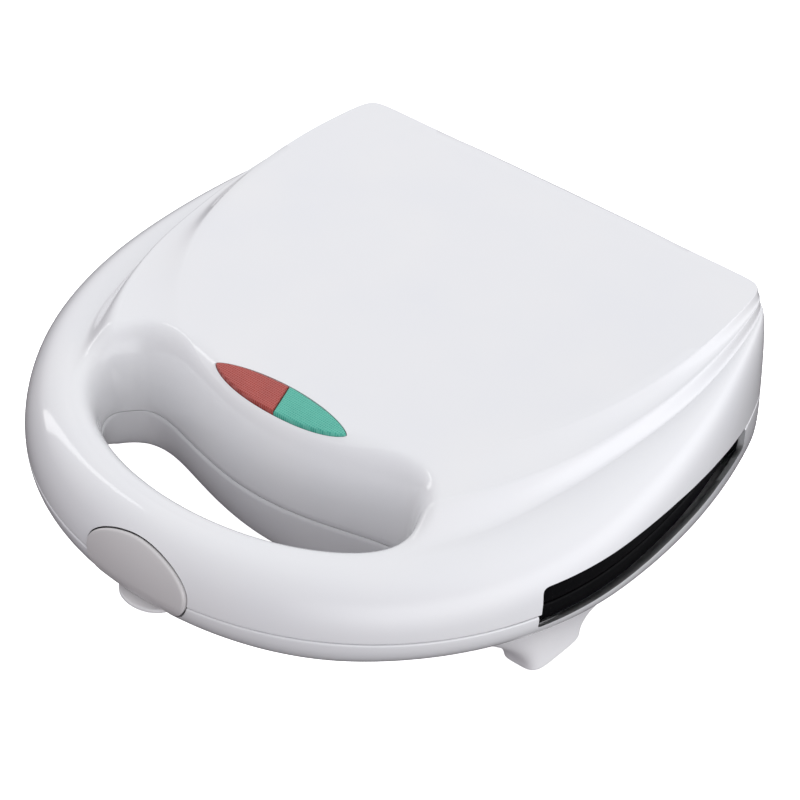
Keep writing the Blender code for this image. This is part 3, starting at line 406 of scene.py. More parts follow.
def cushion(outline: Array, centre: tuple[float, float], edge: float, thickness: float,
            under_edge: float = 0.2, fill: int = 6) -> tuple[Array, Array, Array]:
    """Loops and depths of a slab with rounded edges inside a flat outline.

    A loop is the outline moved towards the centre by an inset. The inset falls from the whole way at the
    pole to the edge radius, then follows a quarter circle over the edge, the straight side, a small
    quarter circle below and back to the pole.

    Args:
        outline: closed loop of points, N by 2.
        centre: point that the loop is seen whole from.
        edge: radius of the upper edge.
        thickness: depth from face to back.
        under_edge: radius of the lower edge.
        fill: rows between the pole and the edge.

    Returns:
        The two coordinates of every loop and their depth under the face, K by N each.
    """
    middle = np.array(centre)
    spoke = outline - middle
    reach = np.linalg.norm(spoke, axis=1)
    turn = np.linspace(0.0, math.pi / 2, EDGE_ROWS)
    share = np.concatenate([np.linspace(0.0, 1.0, fill, endpoint=False), np.ones(2 * EDGE_ROWS),
                            np.linspace(1.0, 0.0, fill + 1)[1:]])
    rounding = np.concatenate([edge * (1.0 - np.sin(turn)), under_edge * (1.0 - np.cos(turn))])
    inset = np.concatenate([np.full(fill, edge), rounding, np.full(fill, under_edge)])
    depth = np.concatenate([np.zeros(fill), edge * (1.0 - np.cos(turn)),
                            thickness - under_edge * (1.0 - np.sin(turn)), np.full(fill, thickness)])
    scale = share[:, None] * (1.0 - np.minimum(inset[:, None] / reach[None, :], 0.95))
    flat = middle + scale[:, :, None] * spoke
    return flat[..., 0], flat[..., 1], np.repeat(depth[:, None], len(outline), axis=1)


def resample(points: Array, count: int, closed: bool = True) -> Array:
    """Even points along a line of points.

    Args:
        points: the line, M by 2.
        count: number of points wanted.
        closed: whether the line returns to its start.

    Returns:
        Points spaced evenly by length along the line, count by 2.
    """
    line = np.vstack([points, points[:1]]) if closed else points
    length = np.concatenate([[0.0], np.cumsum(np.linalg.norm(np.diff(line, axis=0), axis=1))])
    wanted = np.linspace(0.0, length[-1], count, endpoint=not closed)
    return np.stack([np.interp(wanted, length, line[:, 0]), np.interp(wanted, length, line[:, 1])], axis=-1)


def soften(loop: Array, width: float) -> Array:
    """Rounds the corners of an even closed loop by a bell-shaped average that many points wide.

    Args:
        loop: evenly spaced points, N by 2.
        width: width of the bell, in points.

    Returns:
        The rounded loop, N by 2.
    """
    reach = int(3 * width)
    steps = np.arange(-reach, reach + 1)
    weight = np.exp(-0.5 * (steps / width) ** 2)
    weight /= weight.sum()
    wrapped = np.vstack([loop[-reach:], loop, loop[:reach]])
    return np.stack([np.convolve(wrapped[:, axis], weight, mode="valid") for axis in (0, 1)], axis=-1)


def turned(profile: Array, columns: int = 96) -> tuple[Array, Array, Array]:
    """Grid of a turned piece: radius cos t, radius sin t, and the height.

    Args:
        profile: radius and height pairs, M by 2.
        columns: steps round the axis.

    Returns:
        Both coordinates across the axis, M by columns, and the one along it, M by 1.
    """
    turn = np.linspace(0.0, 2 * math.pi, columns, endpoint=False)
    radius, height = profile[:, :1], profile[:, 1:]
    return radius * np.cos(turn), radius * np.sin(turn), height


def mirrored(right: Array) -> Array:
    """Joins columns of the right half, front to back, with their mirror images back to front."""
    left = right[:, -2:0:-1] * np.array([-1.0, 1.0, 1.0])
    return np.concatenate([right, left], axis=1)


# ---------------------------------------------------------------- form shared by the shells

@dataclass(frozen=True)
class PlanOutline:
    """D-shaped outline in plan: a superellipse front, sides on a parabola and a straight back."""

    front_y: float
    half_width: float
    widest_y: float
    back_y: float
    power: float
    taper: float
    corner: float

    def radius(self, phi: Array, inset: float = 0.0) -> Array:
        """Distance of the outline from the centre along rays.

        The side and the straight back are joined by a soft minimum: the sum of both radii to a high
        negative power, taken to the inverse power.

        Args:
            phi: ray angles from +X.
            inset: distance the outline is moved inwards.

        Returns:
            Radius for each ray.
        """
        turn = np.linspace(0.0, math.pi / 2, 400)
        front_x = self.half_width * np.sin(turn) ** (2 / self.power)
        front = self.widest_y + (self.front_y - self.widest_y) * np.cos(turn) ** (2 / self.power)
        side_y = np.linspace(self.widest_y, 160.0, 120)[1:]
        side_x = self.half_width - self.taper * MM * (side_y - self.widest_y) ** 2
        x = np.concatenate([front_x, side_x])
        y = np.concatenate([front, side_y]) - CENTRE_Y
        side = np.interp(phi, np.arctan2(y, x), np.hypot(x, y)) - inset
        back = (self.back_y - inset - CENTRE_Y) / np.maximum(np.sin(phi), 1e-4)
        return (side ** -self.corner + back ** -self.corner) ** (-1 / self.corner)

    def front_line(self, x: Array) -> Array:
        """Y of the outline's front at an x: the superellipse solved for y."""
        share = np.clip(np.abs(x) / self.half_width, 0.0, 1.0)
        depth = (1.0 - share ** self.power) ** (1 / self.power)
        return self.widest_y + (self.front_y - self.widest_y) * depth

    def side_line(self, y: Array) -> Array:
        """X of the outline's side at a y.

        Args:
            y: distances along.

        Returns:
            X of the right side, in the shape of y.
        """
        front = np.clip((self.widest_y - y) / (self.widest_y - self.front_y), 0.0, 1.0)
        ahead = self.half_width * (1.0 - front ** self.power) ** (1 / self.power)
        behind = self.half_width - self.taper * MM * (y - self.widest_y) ** 2
        return np.where(y < self.widest_y, ahead, behind)


EDGE = PlanOutline(-117.9, 118.5, -3.0, 108.5, 2.08, 2.17, 22.0)
PLATEAU = PlanOutline(-52.6, 94.6, 60.8, 103.5, 2.2, 2.6, 40.0)


@dataclass(frozen=True)
class FingerOpening:
    """Crescent-shaped opening behind the handle, drawn along the rays."""

    half_angle: float = math.radians(40.7)
    mid_radius: float = 95.8
    mid_rise: float = 2.6
    half_depth: float = 16.4
    rounding: float = 10.0
    clear_x: float = 85.0        # beyond this the skin is clear of the rounding
    clear_y: float = -40.0

    def reach(self, inset: float = 0.0) -> float:
        """Half angle of the opening, grown by an inset."""
        return self.half_angle + inset / (self.mid_radius + self.mid_rise)

    def radii(self, share: Array, inset: float = 0.0) -> tuple[Array, Array]:
        """Radii of the far and the near edge at shares of the half angle.

        The half depth falls off as the cube root of one less the share cubed.

        Args:
            share: 0 at the middle to 1 at the end.
            inset: distance the opening is grown by.

        Returns:
            Far edge and near edge.
        """
        middle = self.mid_radius + self.mid_rise * share ** 2
        half = (self.half_depth + inset) * np.maximum(1.0 - share ** 3, 0.0) ** (1 / 3)
        return middle - half, middle + half

    def shares(self, count: int, least: float = 0.0) -> Array:
        """Shares of the half angle from the middle to the end, evenly spaced along the edge.

        The first half of them grows evenly to the share at which share and half depth are alike, and the
        rest follows from an even fall of the half depth as the cube root of one less its cube.

        Args:
            count: number of shares; the last is 1.
            least: share of the half depth that the last step, to 0, starts from.

        Returns:
            Rising shares, count of them.
        """
        alike = 0.5 ** (1 / 3)
        level = np.linspace(0.0, alike, count // 2)
        half = np.linspace(alike, least, count - count // 2 + 1)[1:]
        half[-1] = 0.0
        return np.concatenate([level, (1.0 - half ** 3) ** (1 / 3)])

    def edge(self, inset: float = 0.0, count: int = 160) -> tuple[Array, Array]:
        """Right half of the edge.

        Args:
            inset: distance the opening is grown by.
            count: points on each side.

        Returns:
            Near line and far line from the middle to the end, count by 2 each.
        """
        share = self.shares(count)
        phi = share * self.reach(inset) - math.pi / 2
        far, near = self.radii(share, inset)
        lines = [np.stack([r * np.cos(phi), CENTRE_Y + r * np.sin(phi)], axis=-1) for r in (near, far)]
        return lines[0], lines[1]

    def distance(self, x: Array, y: Array, inset: float = 0.0) -> Array:
        """Shortest distance from points in plan to the opening's edge.

        The nearest of many points on the edge is found first, then the distance to the straight pieces
        on either side of it. Points beyond the rounding keep a large distance.

        Args:
            x: across.
            y: along.
            inset: distance the opening is grown by.

        Returns:
            Distances in the shape of x.
        """
        near, far = self.edge(inset, 220)
        line = np.vstack([[-1.0, 1.0] * near[1:2], near, far[-2::-1], [-1.0, 1.0] * far[1:2]])
        result = np.full(x.size, 1e3)
        flat = np.stack([np.abs(x).ravel(), y.ravel()], axis=-1)
        close = np.flatnonzero((flat[:, 1] < self.clear_y) & (flat[:, 0] < self.clear_x))
        for block in np.array_split(close, 24):
            point = flat[block]
            gap = ((point[:, None] - line[None, 1:-1]).astype(np.float32) ** 2).sum(axis=-1)
            nearest = gap.argmin(axis=1) + 1
            best = np.full(len(block), 1e3)
            for start in (nearest - 1, nearest):
                along = line[start + 1] - line[start]
                offset = point - line[start]
                share = np.clip((offset * along).sum(axis=1) / (along ** 2).sum(axis=1), 0.0, 1.0)
                best = np.minimum(best, np.linalg.norm(offset - share[:, None] * along, axis=1))
            result[block] = best
        return result.reshape(x.shape)


OPENING = FingerOpening()


@dataclass(frozen=True)
class Stations:
    """Values given at ray angles in degrees, joined by straight lines and then softened."""

    values: dict[int, float]
    spread: float = 5.0

    def at(self, degrees: Array) -> Array:
        """Value at ray angles: linear between stations, then a bell-shaped average over a few degrees.

        Args:
            degrees: ray angles.

        Returns:
            Values in the shape of the angles.
        """
        fine = np.arange(-130.0, 130.5, 0.5)
        folded = np.where(fine < -90.0, -180.0 - fine, np.where(fine > 90.0, 180.0 - fine, fine))
        raw = np.interp(folded, list(self.values), list(self.values.values()))
        steps = np.arange(-60, 61) * 0.5
        bell = np.exp(-0.5 * (steps / self.spread) ** 2)
        return np.interp(degrees, fine, np.convolve(raw, bell / bell.sum(), mode="same"))


@dataclass
class ShellForm:
    """Section of one shell along every ray, as heights over the parting plane.

    From the middle out: a plateau, a soft fall to the band, a second fall to the step, and a rounded
    drop to the edge.
    """

    sign: int
    band: Stations
    step: Stations
    band_height: Stations
    step_height: Stations
    fullness: Stations
    slot: tuple[tuple[float, float], ...]
    slot_slope: float
    lip: float = 0.35            # depth of the groove along the seam
    lip_height: float = 0.6      # height over which the skin turns in to it
    lip_fade: float = 6.0        # depth of the opening from which the groove is whole
    slot_inside: float = 7.0
    slot_outside: float = 6.0

    def top_height(self, y: Array) -> Array:
        """Height of the level or gently falling face over the plates."""
        raise NotImplementedError

    def section(self, phi: Array, inset: float) -> dict[str, Array]:
        """Radii of the plateau's edge, the band, the step and the outer edge along rays.

        Args:
            phi: ray angles.
            inset: the wall's thickness, or 0.

        Returns:
            Radii under the names inner, band, step and outer.
        """
        degrees = np.degrees(phi)
        inner = PLATEAU.radius(phi, 0.6 * inset)
        outer = EDGE.radius(phi, inset)
        return {"inner": inner, "outer": outer, "band": inner + self.band.at(degrees) * (outer - inner),
                "step": inner + self.step.at(degrees) * (outer - inner)}

    def height(self, x: Array, y: Array, inset: float = 0.0) -> Array:
        """Height of the skin over points in plan.

        The height rolls off from the top to the band's height, runs by a smooth step to the step's height,
        is multiplied by the superellipse (1 - fall^n)^(1/n) beyond the step, and by a quarter circle
        that rounds it over towards the finger opening.

        Args:
            x: across.
            y: along.
            inset: 0 for the outer skin, the wall's thickness for the inner one.

        Returns:
            Heights in the shape of x.
        """
        phi = np.arctan2(y - CENTRE_Y, np.abs(x))
        radius = np.hypot(x, y - CENTRE_Y)
        degrees = np.degrees(phi)
        cut = self.section(phi, inset)
        rim_y = CENTRE_Y + cut["inner"] * np.sin(phi)
        top = self.top_height(np.where(radius < cut["inner"], y, rim_y)) - inset
        band_height = self.band_height.at(degrees) - inset
        step_height = self.step_height.at(degrees) - inset
        power = self.fullness.at(degrees)
        height = top + (band_height - top) * roll_off((radius - cut["inner"]) / (cut["band"] - cut["inner"]))
        height += (step_height - band_height) * ease((radius - cut["band"]) / (cut["step"] - cut["band"]))
        fall = np.clip((radius - cut["step"]) / (cut["outer"] - cut["step"]), 0.0, 1.0)
        height = height * (1.0 - fall ** power) ** (1.0 / power)
        wall = np.clip(1.0 - OPENING.distance(x, y, inset) / (OPENING.rounding - inset), 0.0, 1.0)
        return height * np.sqrt(1.0 - wall ** 2)

    def slot_tool(self, side: int) -> bpy.types.Mesh:
        """Cutting solid for the side slot that shows the plates.

        The slot's outline, with rounded corners, is laid along the shell's side from inside it to
        outside. Its far line falls away inwards by the slope.

        Args:
            side: 1 for the right slot, -1 for the left one.

        Returns:
            A closed mesh.
        """
        outline = soften(resample(np.array(self.slot), 640), 2.0)
        thickness = self.slot_inside + self.slot_outside
        along, rise, depth = cushion(outline, (20.0, 1.5), THIN, thickness, THIN, 2)
        out = depth - self.slot_inside
        rise = rise - self.slot_slope * out * np.clip(rise / 4.0, 0.0, 1.0)
        x = side * (EDGE.side_line(along) + out)
        return Surface("side_slot").lay(x, along, PARTING_Z + self.sign * rise).mesh()

    def rays(self, inset: float) -> Array:
        """Ray angles of the right half, front to back, crowded at the opening's end.

        Args:
            inset: the wall's thickness, or 0.

        Returns:
            Rising ray angles.
        """
        reach, plain = OPENING.reach(inset), OPENING.reach()
        hole = OPENING.shares(HOLE_RAYS + 1, 0.1) * reach - math.pi / 2
        near_end = np.radians([0.03, 0.08, 0.16, 0.28, 0.45, 0.7, 1.0])
        side = np.arange(math.radians(1.5), math.pi - plain - 0.01, math.radians(0.85))
        beyond = np.concatenate([near_end, side, [math.pi - plain]]) * (math.pi - reach) / (math.pi - plain)
        return np.concatenate([hole, reach - math.pi / 2 + beyond])

    def grids(self, inset: float, plateau_rows: int, wall_rows: int, ring_rows: int) -> tuple[Array, Array]:
        """The skin as two grids: from the middle to the opening's far edge, and from its near edge out.

        Beyond the opening's ends the two grids meet on one line. Rows crowd where the skin turns down:
        by a sine towards the opening, and by equal steps of height towards the outer edge.

        Args:
            inset: 0 for the outer skin, the wall's thickness for the inner one.
            plateau_rows: rows on the top.
            wall_rows: rows from the plateau's edge to the opening.
            ring_rows: rows from the opening to the step, and again from there to the edge.

        Returns:
            Inner grid and ring grid, rows by columns by 3.
        """
        phi = self.rays(inset)
        cut = self.section(phi, inset)
        inner, outer = cut["inner"], cut["outer"]
        share = (phi + math.pi / 2) / OPENING.reach(inset)
        far, near = OPENING.radii(np.minimum(share, 1.0), inset)
        beyond = np.arange(len(phi)) > HOLE_RAYS
        end_share = ((far - inner) / (outer - inner))[HOLE_RAYS]
        step_share = (cut["step"] - inner) / (outer - inner)
        split = inner + np.minimum(end_share, step_share - 0.03) * (outer - inner)
        far, near = np.where(beyond, split, far), np.where(beyond, split, near)
        open_share = np.clip((near - far) / self.lip_fade, 0.0, 1.0)
        start = np.minimum(inner, far - 1.0)
        level = np.linspace(0.0, 1.0, plateau_rows)[:, None] * start
        turn = np.sin(np.linspace(0.0, math.pi / 2, wall_rows + 1))[1:, None]
        inner_radius = np.vstack([level, start + turn * (far - start)])
        step = np.maximum(cut["step"], near + 0.3)
        opening_side = 1.0 - np.cos(np.linspace(0.0, math.pi / 2, ring_rows))
        drop = np.concatenate([np.cos(np.linspace(0.0, math.radians(84.0), ring_rows)),
                               [0.07, 0.045, 0.028, 0.018, 0.011, 0.006, 0.0025, 0.0]])
        power = self.fullness.at(np.degrees(phi))
        fall = (1.0 - drop[1:, None] ** power) ** (1.0 / power)
        ring_radius = np.vstack([near + opening_side[:, None] * (step - near), step + fall * (outer - step)])
        grids = []
        for radius in (inner_radius, ring_radius):
            x, y = radius * np.cos(phi), CENTRE_Y + radius * np.sin(phi)
            height = self.height(x, y, inset)
            in_ring = radius is ring_radius
            height[0 if in_ring else -1, ~beyond] = 0.0
            if in_ring:
                height[-1] = 0.0
            if inset == 0.0:
                near_rim = self.lip * np.clip(1.0 - height / self.lip_height, 0.0, 1.0) ** 2
                near_rim[:ring_rows if in_ring else None] *= open_share
                rows = np.arange(len(radius))[:, None]
                outward = np.where(in_ring & (rows < ring_rows), 1.0, -1.0)
                radius = radius + outward * near_rim
                x, y = radius * np.cos(phi), CENTRE_Y + radius * np.sin(phi)
            grids.append(mirrored(np.stack([x, y, PARTING_Z + self.sign * (height + SEAM)], axis=-1)))
        return grids[0], grids[1]

    def surface(self, name: str) -> Surface:
        """Outer skin, inner skin and the rims between them, round the edge and round the opening.

        Args:
            name: name of the shell.

        Returns:
            The closed surface.
        """
        shell = Surface(name)
        loops = []
        for inset, counts in ((0.0, (26, 30, 30)), (WALL, (6, 6, 8))):
            inner, ring = self.grids(inset, *counts)
            shell.patch(inner).patch(ring)
            loops.append((inner[-1], ring[0], ring[-1]))
        opening = np.arange(-HOLE_RAYS, HOLE_RAYS + 1)
        for i in (0, 1):
            shell.patch(np.stack([loops[0][i][opening], loops[1][i][opening]]), wrap=False)
        return shell.patch(np.stack([loops[0][2], loops[1][2]]))


class LidForm(ShellForm):
    """The lid: its top is level at the back and falls towards the handle on a parabola."""

    def top_height(self, y: Array) -> Array:
        """Full height less the front drop times the squared share of the way forward."""
        return 41.1 - 8.6 * ((105.9 - y) / 158.4) ** 2


class BaseForm(ShellForm):
    """The base: its floor is level."""

    def top_height(self, y: Array) -> Array:
        """One depth all over."""
        return np.full_like(y, 26.0)


LID_FORM = LidForm(
    sign=1, band=Stations({-90: 0.57, -44: 0.42, 0: 0.28, 90: 0.30}),
    step=Stations({-90: 0.78, -60: 0.76, -50: 0.70, -33: 0.59, -24: 0.50, 0: 0.42, 90: 0.50}),
    band_height=Stations({-90: 26.0, -50: 31.0, -44: 33.0, 0: 34.2, 41: 37.0, 60: 40.2, 90: 40.4}),
    step_height=Stations({-90: 22.0, -55: 22.0, -40: 24.0, -10: 27.5, 20: 29.5, 41: 32.0, 60: 39.0,
                          90: 39.3}),
    fullness=Stations({-90: 2.0, -50: 2.1, -25: 2.6, 0: 3.0, 90: 3.0}),
    slot=((-43.6, -3.0), (-42.3, 9.6), (-41.0, 10.7), (0.0, 10.7), (12.0, 10.4), (23.0, 9.8), (38.0, 8.2),
          (52.7, 6.1), (68.0, 3.2), (84.0, 0.2), (84.0, -3.0)), slot_slope=0.0)
BASE_FORM = BaseForm(
    sign=-1, band=Stations({-90: 0.57, -44: 0.42, 0: 0.30, 90: 0.30}),
    step=Stations({-90: 0.78, -60: 0.76, -50: 0.66, -33: 0.50, 0: 0.35, 41: 0.4, 90: 0.5}),
    band_height=Stations({-90: 17.0, -50: 20.0, 0: 25.0, 90: 25.0}),
    step_height=Stations({-90: 15.0, -50: 16.0, 0: 21.0, 90: 24.0}),
    fullness=Stations({-90: 2.0, 0: 2.2, 90: 2.8}),
    slot=((-44.2, -3.0), (-44.0, 4.7), (0.0, 4.5), (25.0, 4.5), (55.0, 5.7), (77.0, 7.8), (78.4, 7.4),
          (78.4, -3.0)),
    slot_slope=0.8)


# ---------------------------------------------------------------- latch

@dataclass
class Latch:
    """Half-moon latch in the handle's front, with a half-disc grip under it and arms to its pin."""

    half_width: float = 22.6
    top: float = 15.9
    widest: float = 3.4
    bottom: float = 12.4
    proud: float = 1.2
    thickness: float = 2.4
    inward: float = 14.4
    upper_rise: float = 22.0
    lower_rise: float = 11.8
    edge: float = 0.9
    pin_y: float = -109.3
    pin_z: float = PARTING_Z + 10.8
    arm_x: float = 7.0
    arm_thickness: float = 3.0
    knob_radius: float = 2.7
    grip_y: float = -110.5
    grip_half_width: float = 11.8
    grip_reach: float = 8.8
    grip_drop: float = 8.4
    grip_thickness: float = 1.8

    def width_at(self, height: Array) -> Array:
        """Half width at a height over the parting plane.

        With a as the share of the way up from the widest line, (1 - a squared)^0.55 of the half width;
        with b as the share of the way down from it, (1 - b^2.2)^0.5 of the half width.
        """
        above = np.clip((height - self.widest) / (self.top - self.widest), 0.0, 1.0)
        below = np.clip((self.widest - height) / (self.widest + self.bottom), 0.0, 1.0)
        return self.half_width * (1.0 - above ** 2) ** 0.55 * (1.0 - below ** 2.2) ** 0.5

    def outline(self) -> Array:
        """Outline of the face as across and height pairs, with its corners rounded.

        Returns:
            Closed loop, N by 2.
        """
        upper = self.top * np.sin(np.linspace(math.pi / 2, 0.0, 120))
        lower = np.linspace(0.0, -10.6, 60)[1:]
        height = np.concatenate([upper, lower])
        right = np.stack([self.width_at(height), height], axis=-1)
        left = right[::-1] * np.array([-1.0, 1.0])
        return soften(resample(np.vstack([right, left]), 260), 2.6)

    def on_handle(self, across: Array, height: Array, offset: Array) -> tuple[Array, Array, Array]:
        """Coordinates of points over the handle's rounded section.

        A turn t maps to (front line + inward (1 - cos t), rise sin t), and the offset moves the point
        out along the section's normal; the turn is read back from the wanted height.

        Args:
            across: x of the points.
            height: heights over the parting plane before the offset.
            offset: distance out from the handle's surface.

        Returns:
            Across, along and height over the worktop.
        """
        turn = np.radians(np.linspace(-60.0, 50.0, 500))
        rise = np.where(turn > 0.0, self.upper_rise, self.lower_rise)
        lean = np.stack([-np.cos(turn) / self.inward, np.sin(turn) / rise], axis=-1)
        lean /= np.linalg.norm(lean, axis=-1, keepdims=True)
        reach = rise * np.sin(turn) + np.where(turn > 0.0, 0.0, self.proud * lean[:, 1])
        at = np.interp(height, reach, turn)
        rise = np.where(at > 0.0, self.upper_rise, self.lower_rise)
        normal_y, normal_z = -np.cos(at) / self.inward, np.sin(at) / rise
        size = np.hypot(normal_y, normal_z)
        y = EDGE.front_line(across) + self.inward * (1.0 - np.cos(at)) + offset * normal_y / size
        z = PARTING_Z + rise * np.sin(at) + offset * normal_z / size
        return across, y, z

    def face(self) -> Surface:
        """The face: a cushion over its outline, laid on the handle's section."""
        across, height, depth = cushion(self.outline(), (0.0, 0.5), self.edge, self.thickness, fill=16)
        return Surface("latch_face").lay(*self.on_handle(across, height, self.proud - depth))

    def add_arms(self, surface: Surface) -> None:
        """Two arms from the back of the face to the pin, each a flat cushion between two x.

        Args:
            surface: piece that they become part of.
        """
        turn = np.linspace(-math.pi / 2, math.pi / 2, 40)
        knob = np.array([self.pin_y, self.pin_z]) + self.knob_radius * np.stack([np.cos(turn), np.sin(turn)],
                                                                               axis=-1)
        arm = np.vstack([knob, [[-114.3, self.pin_z + 2.0], [-115.9, self.pin_z - 3.2]]])
        y, z, depth = cushion(resample(arm, 120), (-111.5, self.pin_z - 0.4), 0.4, self.arm_thickness, 0.4)
        for side in (-1.0, 1.0):
            surface.lay(side * (self.arm_x + depth), y, z)

    def grip(self) -> Surface:
        """Half-disc tongue below the face: a thin cushion that dips a little towards its tip.

        Returns:
            The closed surface.
        """
        turn = np.linspace(0.0, math.pi, 90)
        arc = np.stack([self.grip_half_width * np.cos(turn), self.grip_y - self.grip_reach * np.sin(turn)],
                       axis=-1)
        x, y, depth = cushion(resample(arc, 180), (0.0, self.grip_y - 3.0), 0.7, self.grip_thickness, 0.6, 8)
        dip = 0.06 * np.clip(self.grip_y - y, 0.0, None)
        z = PARTING_Z - self.grip_drop - dip - depth * (1.0 - 0.3 * dip)
        return Surface("latch_grip").lay(x, y, z)

    def window(self, sign: int) -> bpy.types.Mesh:
        """Cutting solid for the latch's window in one shell, a little larger than the face.

        Args:
            sign: 1 for the lid, -1 for the base.

        Returns:
            A closed mesh.
        """
        margin = 0.45
        reach = self.top if sign > 0 else self.bottom
        share = np.sin(np.linspace(0.0, math.pi / 2, 60))
        half = self.width_at(sign * share * reach) + 0.4
        height = share * (reach + margin)
        right = np.vstack([[[half[0], -1.0]], np.stack([half, height], axis=-1)])
        outline = resample(np.vstack([right, right[::-1] * np.array([-1.0, 1.0])]), 240)
        x, rise, depth = cushion(outline, (0.0, 3.0), THIN, 17.5, THIN, 2)
        return Surface("latch_window").lay(x, depth - 125.0, PARTING_Z + sign * rise).mesh()

    def build(self) -> None:
        """Makes the latch's pieces and dresses the frame's nodes round its pin."""
        face = self.face()
        self.add_arms(face)
        dress(add_object("latch_face", face.mesh()), GREY_LATCH, "latch", "grey_latch", "latch")
        # The grip's paler grey is painted light that lifts the shade under the latch face.
        dress(add_object("latch_grip", self.grip().mesh()), LATCH_GREY_LIGHTENED_FOR_SHADE, "latch", "grey_latch")


# ---------------------------------------------------------------- lamps

@dataclass
class LampWindow:
    """Almond window in the lid's top with a red and a green lens that meet on a slanted line."""

    middle_y: float = -45.7
    half_length: float = 29.6
    half_width: float = 6.1
    power: float = 0.72
    lean: float = -0.318
    gap: float = 0.12
    shift: float = 0.45          # how far the slanted line lies to the right of the middle

    def half_at(self, x: Array, grow: float = 0.0) -> Array:
        """Half width of the almond at an x: a power of (1 - share squared) of the full half width."""
        share = np.clip(np.abs(x) / (self.half_length + grow), 0.0, 1.0)
        return (self.half_width + grow) * (1.0 - share ** 2) ** self.power

    def lens_outline(self, side: float) -> Array:
        """Outline of one lens: out along the lower edge, back along the upper, closed by the slanted line.

        Args:
            side: -1 for the left lens, 1 for the right one.

        Returns:
            Closed loop, N by 2.
        """
        share = np.sin(np.linspace(0.0, math.pi / 2, 120))
        lines = []
        for edge in (-1.0, 1.0):
            start = edge * self.lean * self.half_width + self.shift
            x = start + side * self.gap + (side * self.half_length - start) * share
            lines.append(np.stack([x, self.middle_y + edge * self.half_at(x)], axis=-1))
        return resample(np.vstack([lines[0], lines[1][::-1]]), 260)

    def lens(self, name: str, side: float) -> Surface:
        """One lens: a cushion whose face follows the lid's top, slightly proud of it."""
        x, y, depth = cushion(self.lens_outline(side), (side * 9.5, self.middle_y), 0.9, 3.0, 0.1, 14)
        return Surface(name).lay(x, y, PARTING_Z + LID_FORM.top_height(y) + 0.45 - depth)

    def window(self) -> bpy.types.Mesh:
        """Cutting solid for the window, a little larger than the lenses.

        Returns:
            A closed mesh.
        """
        x = (self.half_length + 0.3) * np.sin(np.linspace(-math.pi / 2, math.pi / 2, 120))
        half = self.half_at(x, 0.3)
        lower, upper = (np.stack([x, self.middle_y + edge * half], axis=-1) for edge in (-1.0, 1.0))
        outline = resample(np.vstack([lower, upper[::-1]]), 240)
        x, y, depth = cushion(outline, (0.0, self.middle_y), THIN, 30.0, THIN, 2)
        return Surface("lamp_window").lay(x, y, PARTING_Z + 50.0 - depth).mesh()

    def build(self) -> None:
        """Makes both lenses."""
        for name, side, finish, colour in (("lens_left_red", -1.0, RED_LENS, "red"),
                                           ("lens_right_green", 1.0, GREEN_LENS, "green")):
            lens = add_object(name, self.lens(name, side).mesh())
            dress(lens, finish, "lid", f"{colour}_lens", f"lens_{colour}")


# ---------------------------------------------------------------- shells

@dataclass
class HingeRow:
    """Barrels behind the shells that the hinge pins run through."""

    axis_y: float = 115.2
    radius: float = 4.5
    wall_y: float = 107.3
    barrel_half: float = 30.0
    gap: float = 0.4
    ear_end: float = 44.0

    def knuckle(self, surface: Surface, low_x: float, high_x: float, sign: int) -> None:
        """Adds one knuckle: a rounded barrel and its web back to the wall, a cushion along x.

        Args:
            surface: piece that it becomes part of.
            low_x: its start.
            high_x: its end.
            sign: 1 when its web rises over the barrel, -1 when it hangs below.
        """
        turn = np.linspace(-math.pi / 2, math.pi / 2, 60)
        barrel = np.stack([self.axis_y + self.radius * np.cos(turn), self.radius * np.sin(turn)], axis=-1)
        web = np.array([[self.wall_y, 9.0], [self.wall_y, 0.6], [self.axis_y - 4.6, 0.6],
                        [self.axis_y - 2.0, -4.0]])
        outline = resample(np.vstack([barrel, web]), 200) * np.array([1.0, sign])
        y, z, depth = cushion(outline, (self.axis_y - 1.0, 1.2 * sign), 0.5, high_x - low_x, 0.5, 3)
        surface.lay(low_x + depth, y, PARTING_Z + z)

    def build(self) -> None:
        """Makes the lid's barrel and the base's two ears."""
        half, ear, end = self.barrel_half, self.barrel_half + self.gap, self.ear_end
        for name, sign, body, spans in (("hinge_barrel", 1, "lid", ((-half, half),)),
                                        ("hinge_ears", -1, "base", ((ear, end), (-end, -ear)))):
            row = Surface(name)
            for low_x, high_x in spans:
                self.knuckle(row, low_x, high_x, sign)
            dress(add_object(name, row.mesh()), WHITE_SHELL, body, "white_shell")


@dataclass
class CordInlet:
    """Bush in the back wall, where a mains lead would enter."""

    y: float = 103.6
    z: float = PARTING_Z - 12.6
    radius: float = 4.8

    def build(self) -> None:
        """Turned bush: flange, neck and an open bore, its axis along y."""
        profile = np.array([[3.4, -8.0], [3.4, 7.4], [3.9, 8.0], [6.0, 8.0], [6.4, 7.6], [6.4, 6.3],
                            [6.1, 6.0], [4.8, 6.0], [4.8, -7.8], [4.6, -8.0], [3.4, -8.0]])
        across, rise, along = turned(profile)
        bush = Surface("inlet_bush").lay(across, self.y + along, self.z - rise)
        dress(add_object("inlet_bush", bush.mesh(sharp_degrees=30.0)), BLACK_MOULDING, "base",
              "black_moulding", "cord_inlet")

    def hole(self) -> bpy.types.Mesh:
        """Cutting solid for the bush's hole."""
        across, rise, along = turned(
            np.array([[0.0, -6.0], [self.radius, -6.0], [self.radius, 10.0], [0.0, 10.0]]))
        return Surface("inlet_hole").lay(across, self.y + 2.0 + along, self.z - rise).mesh()


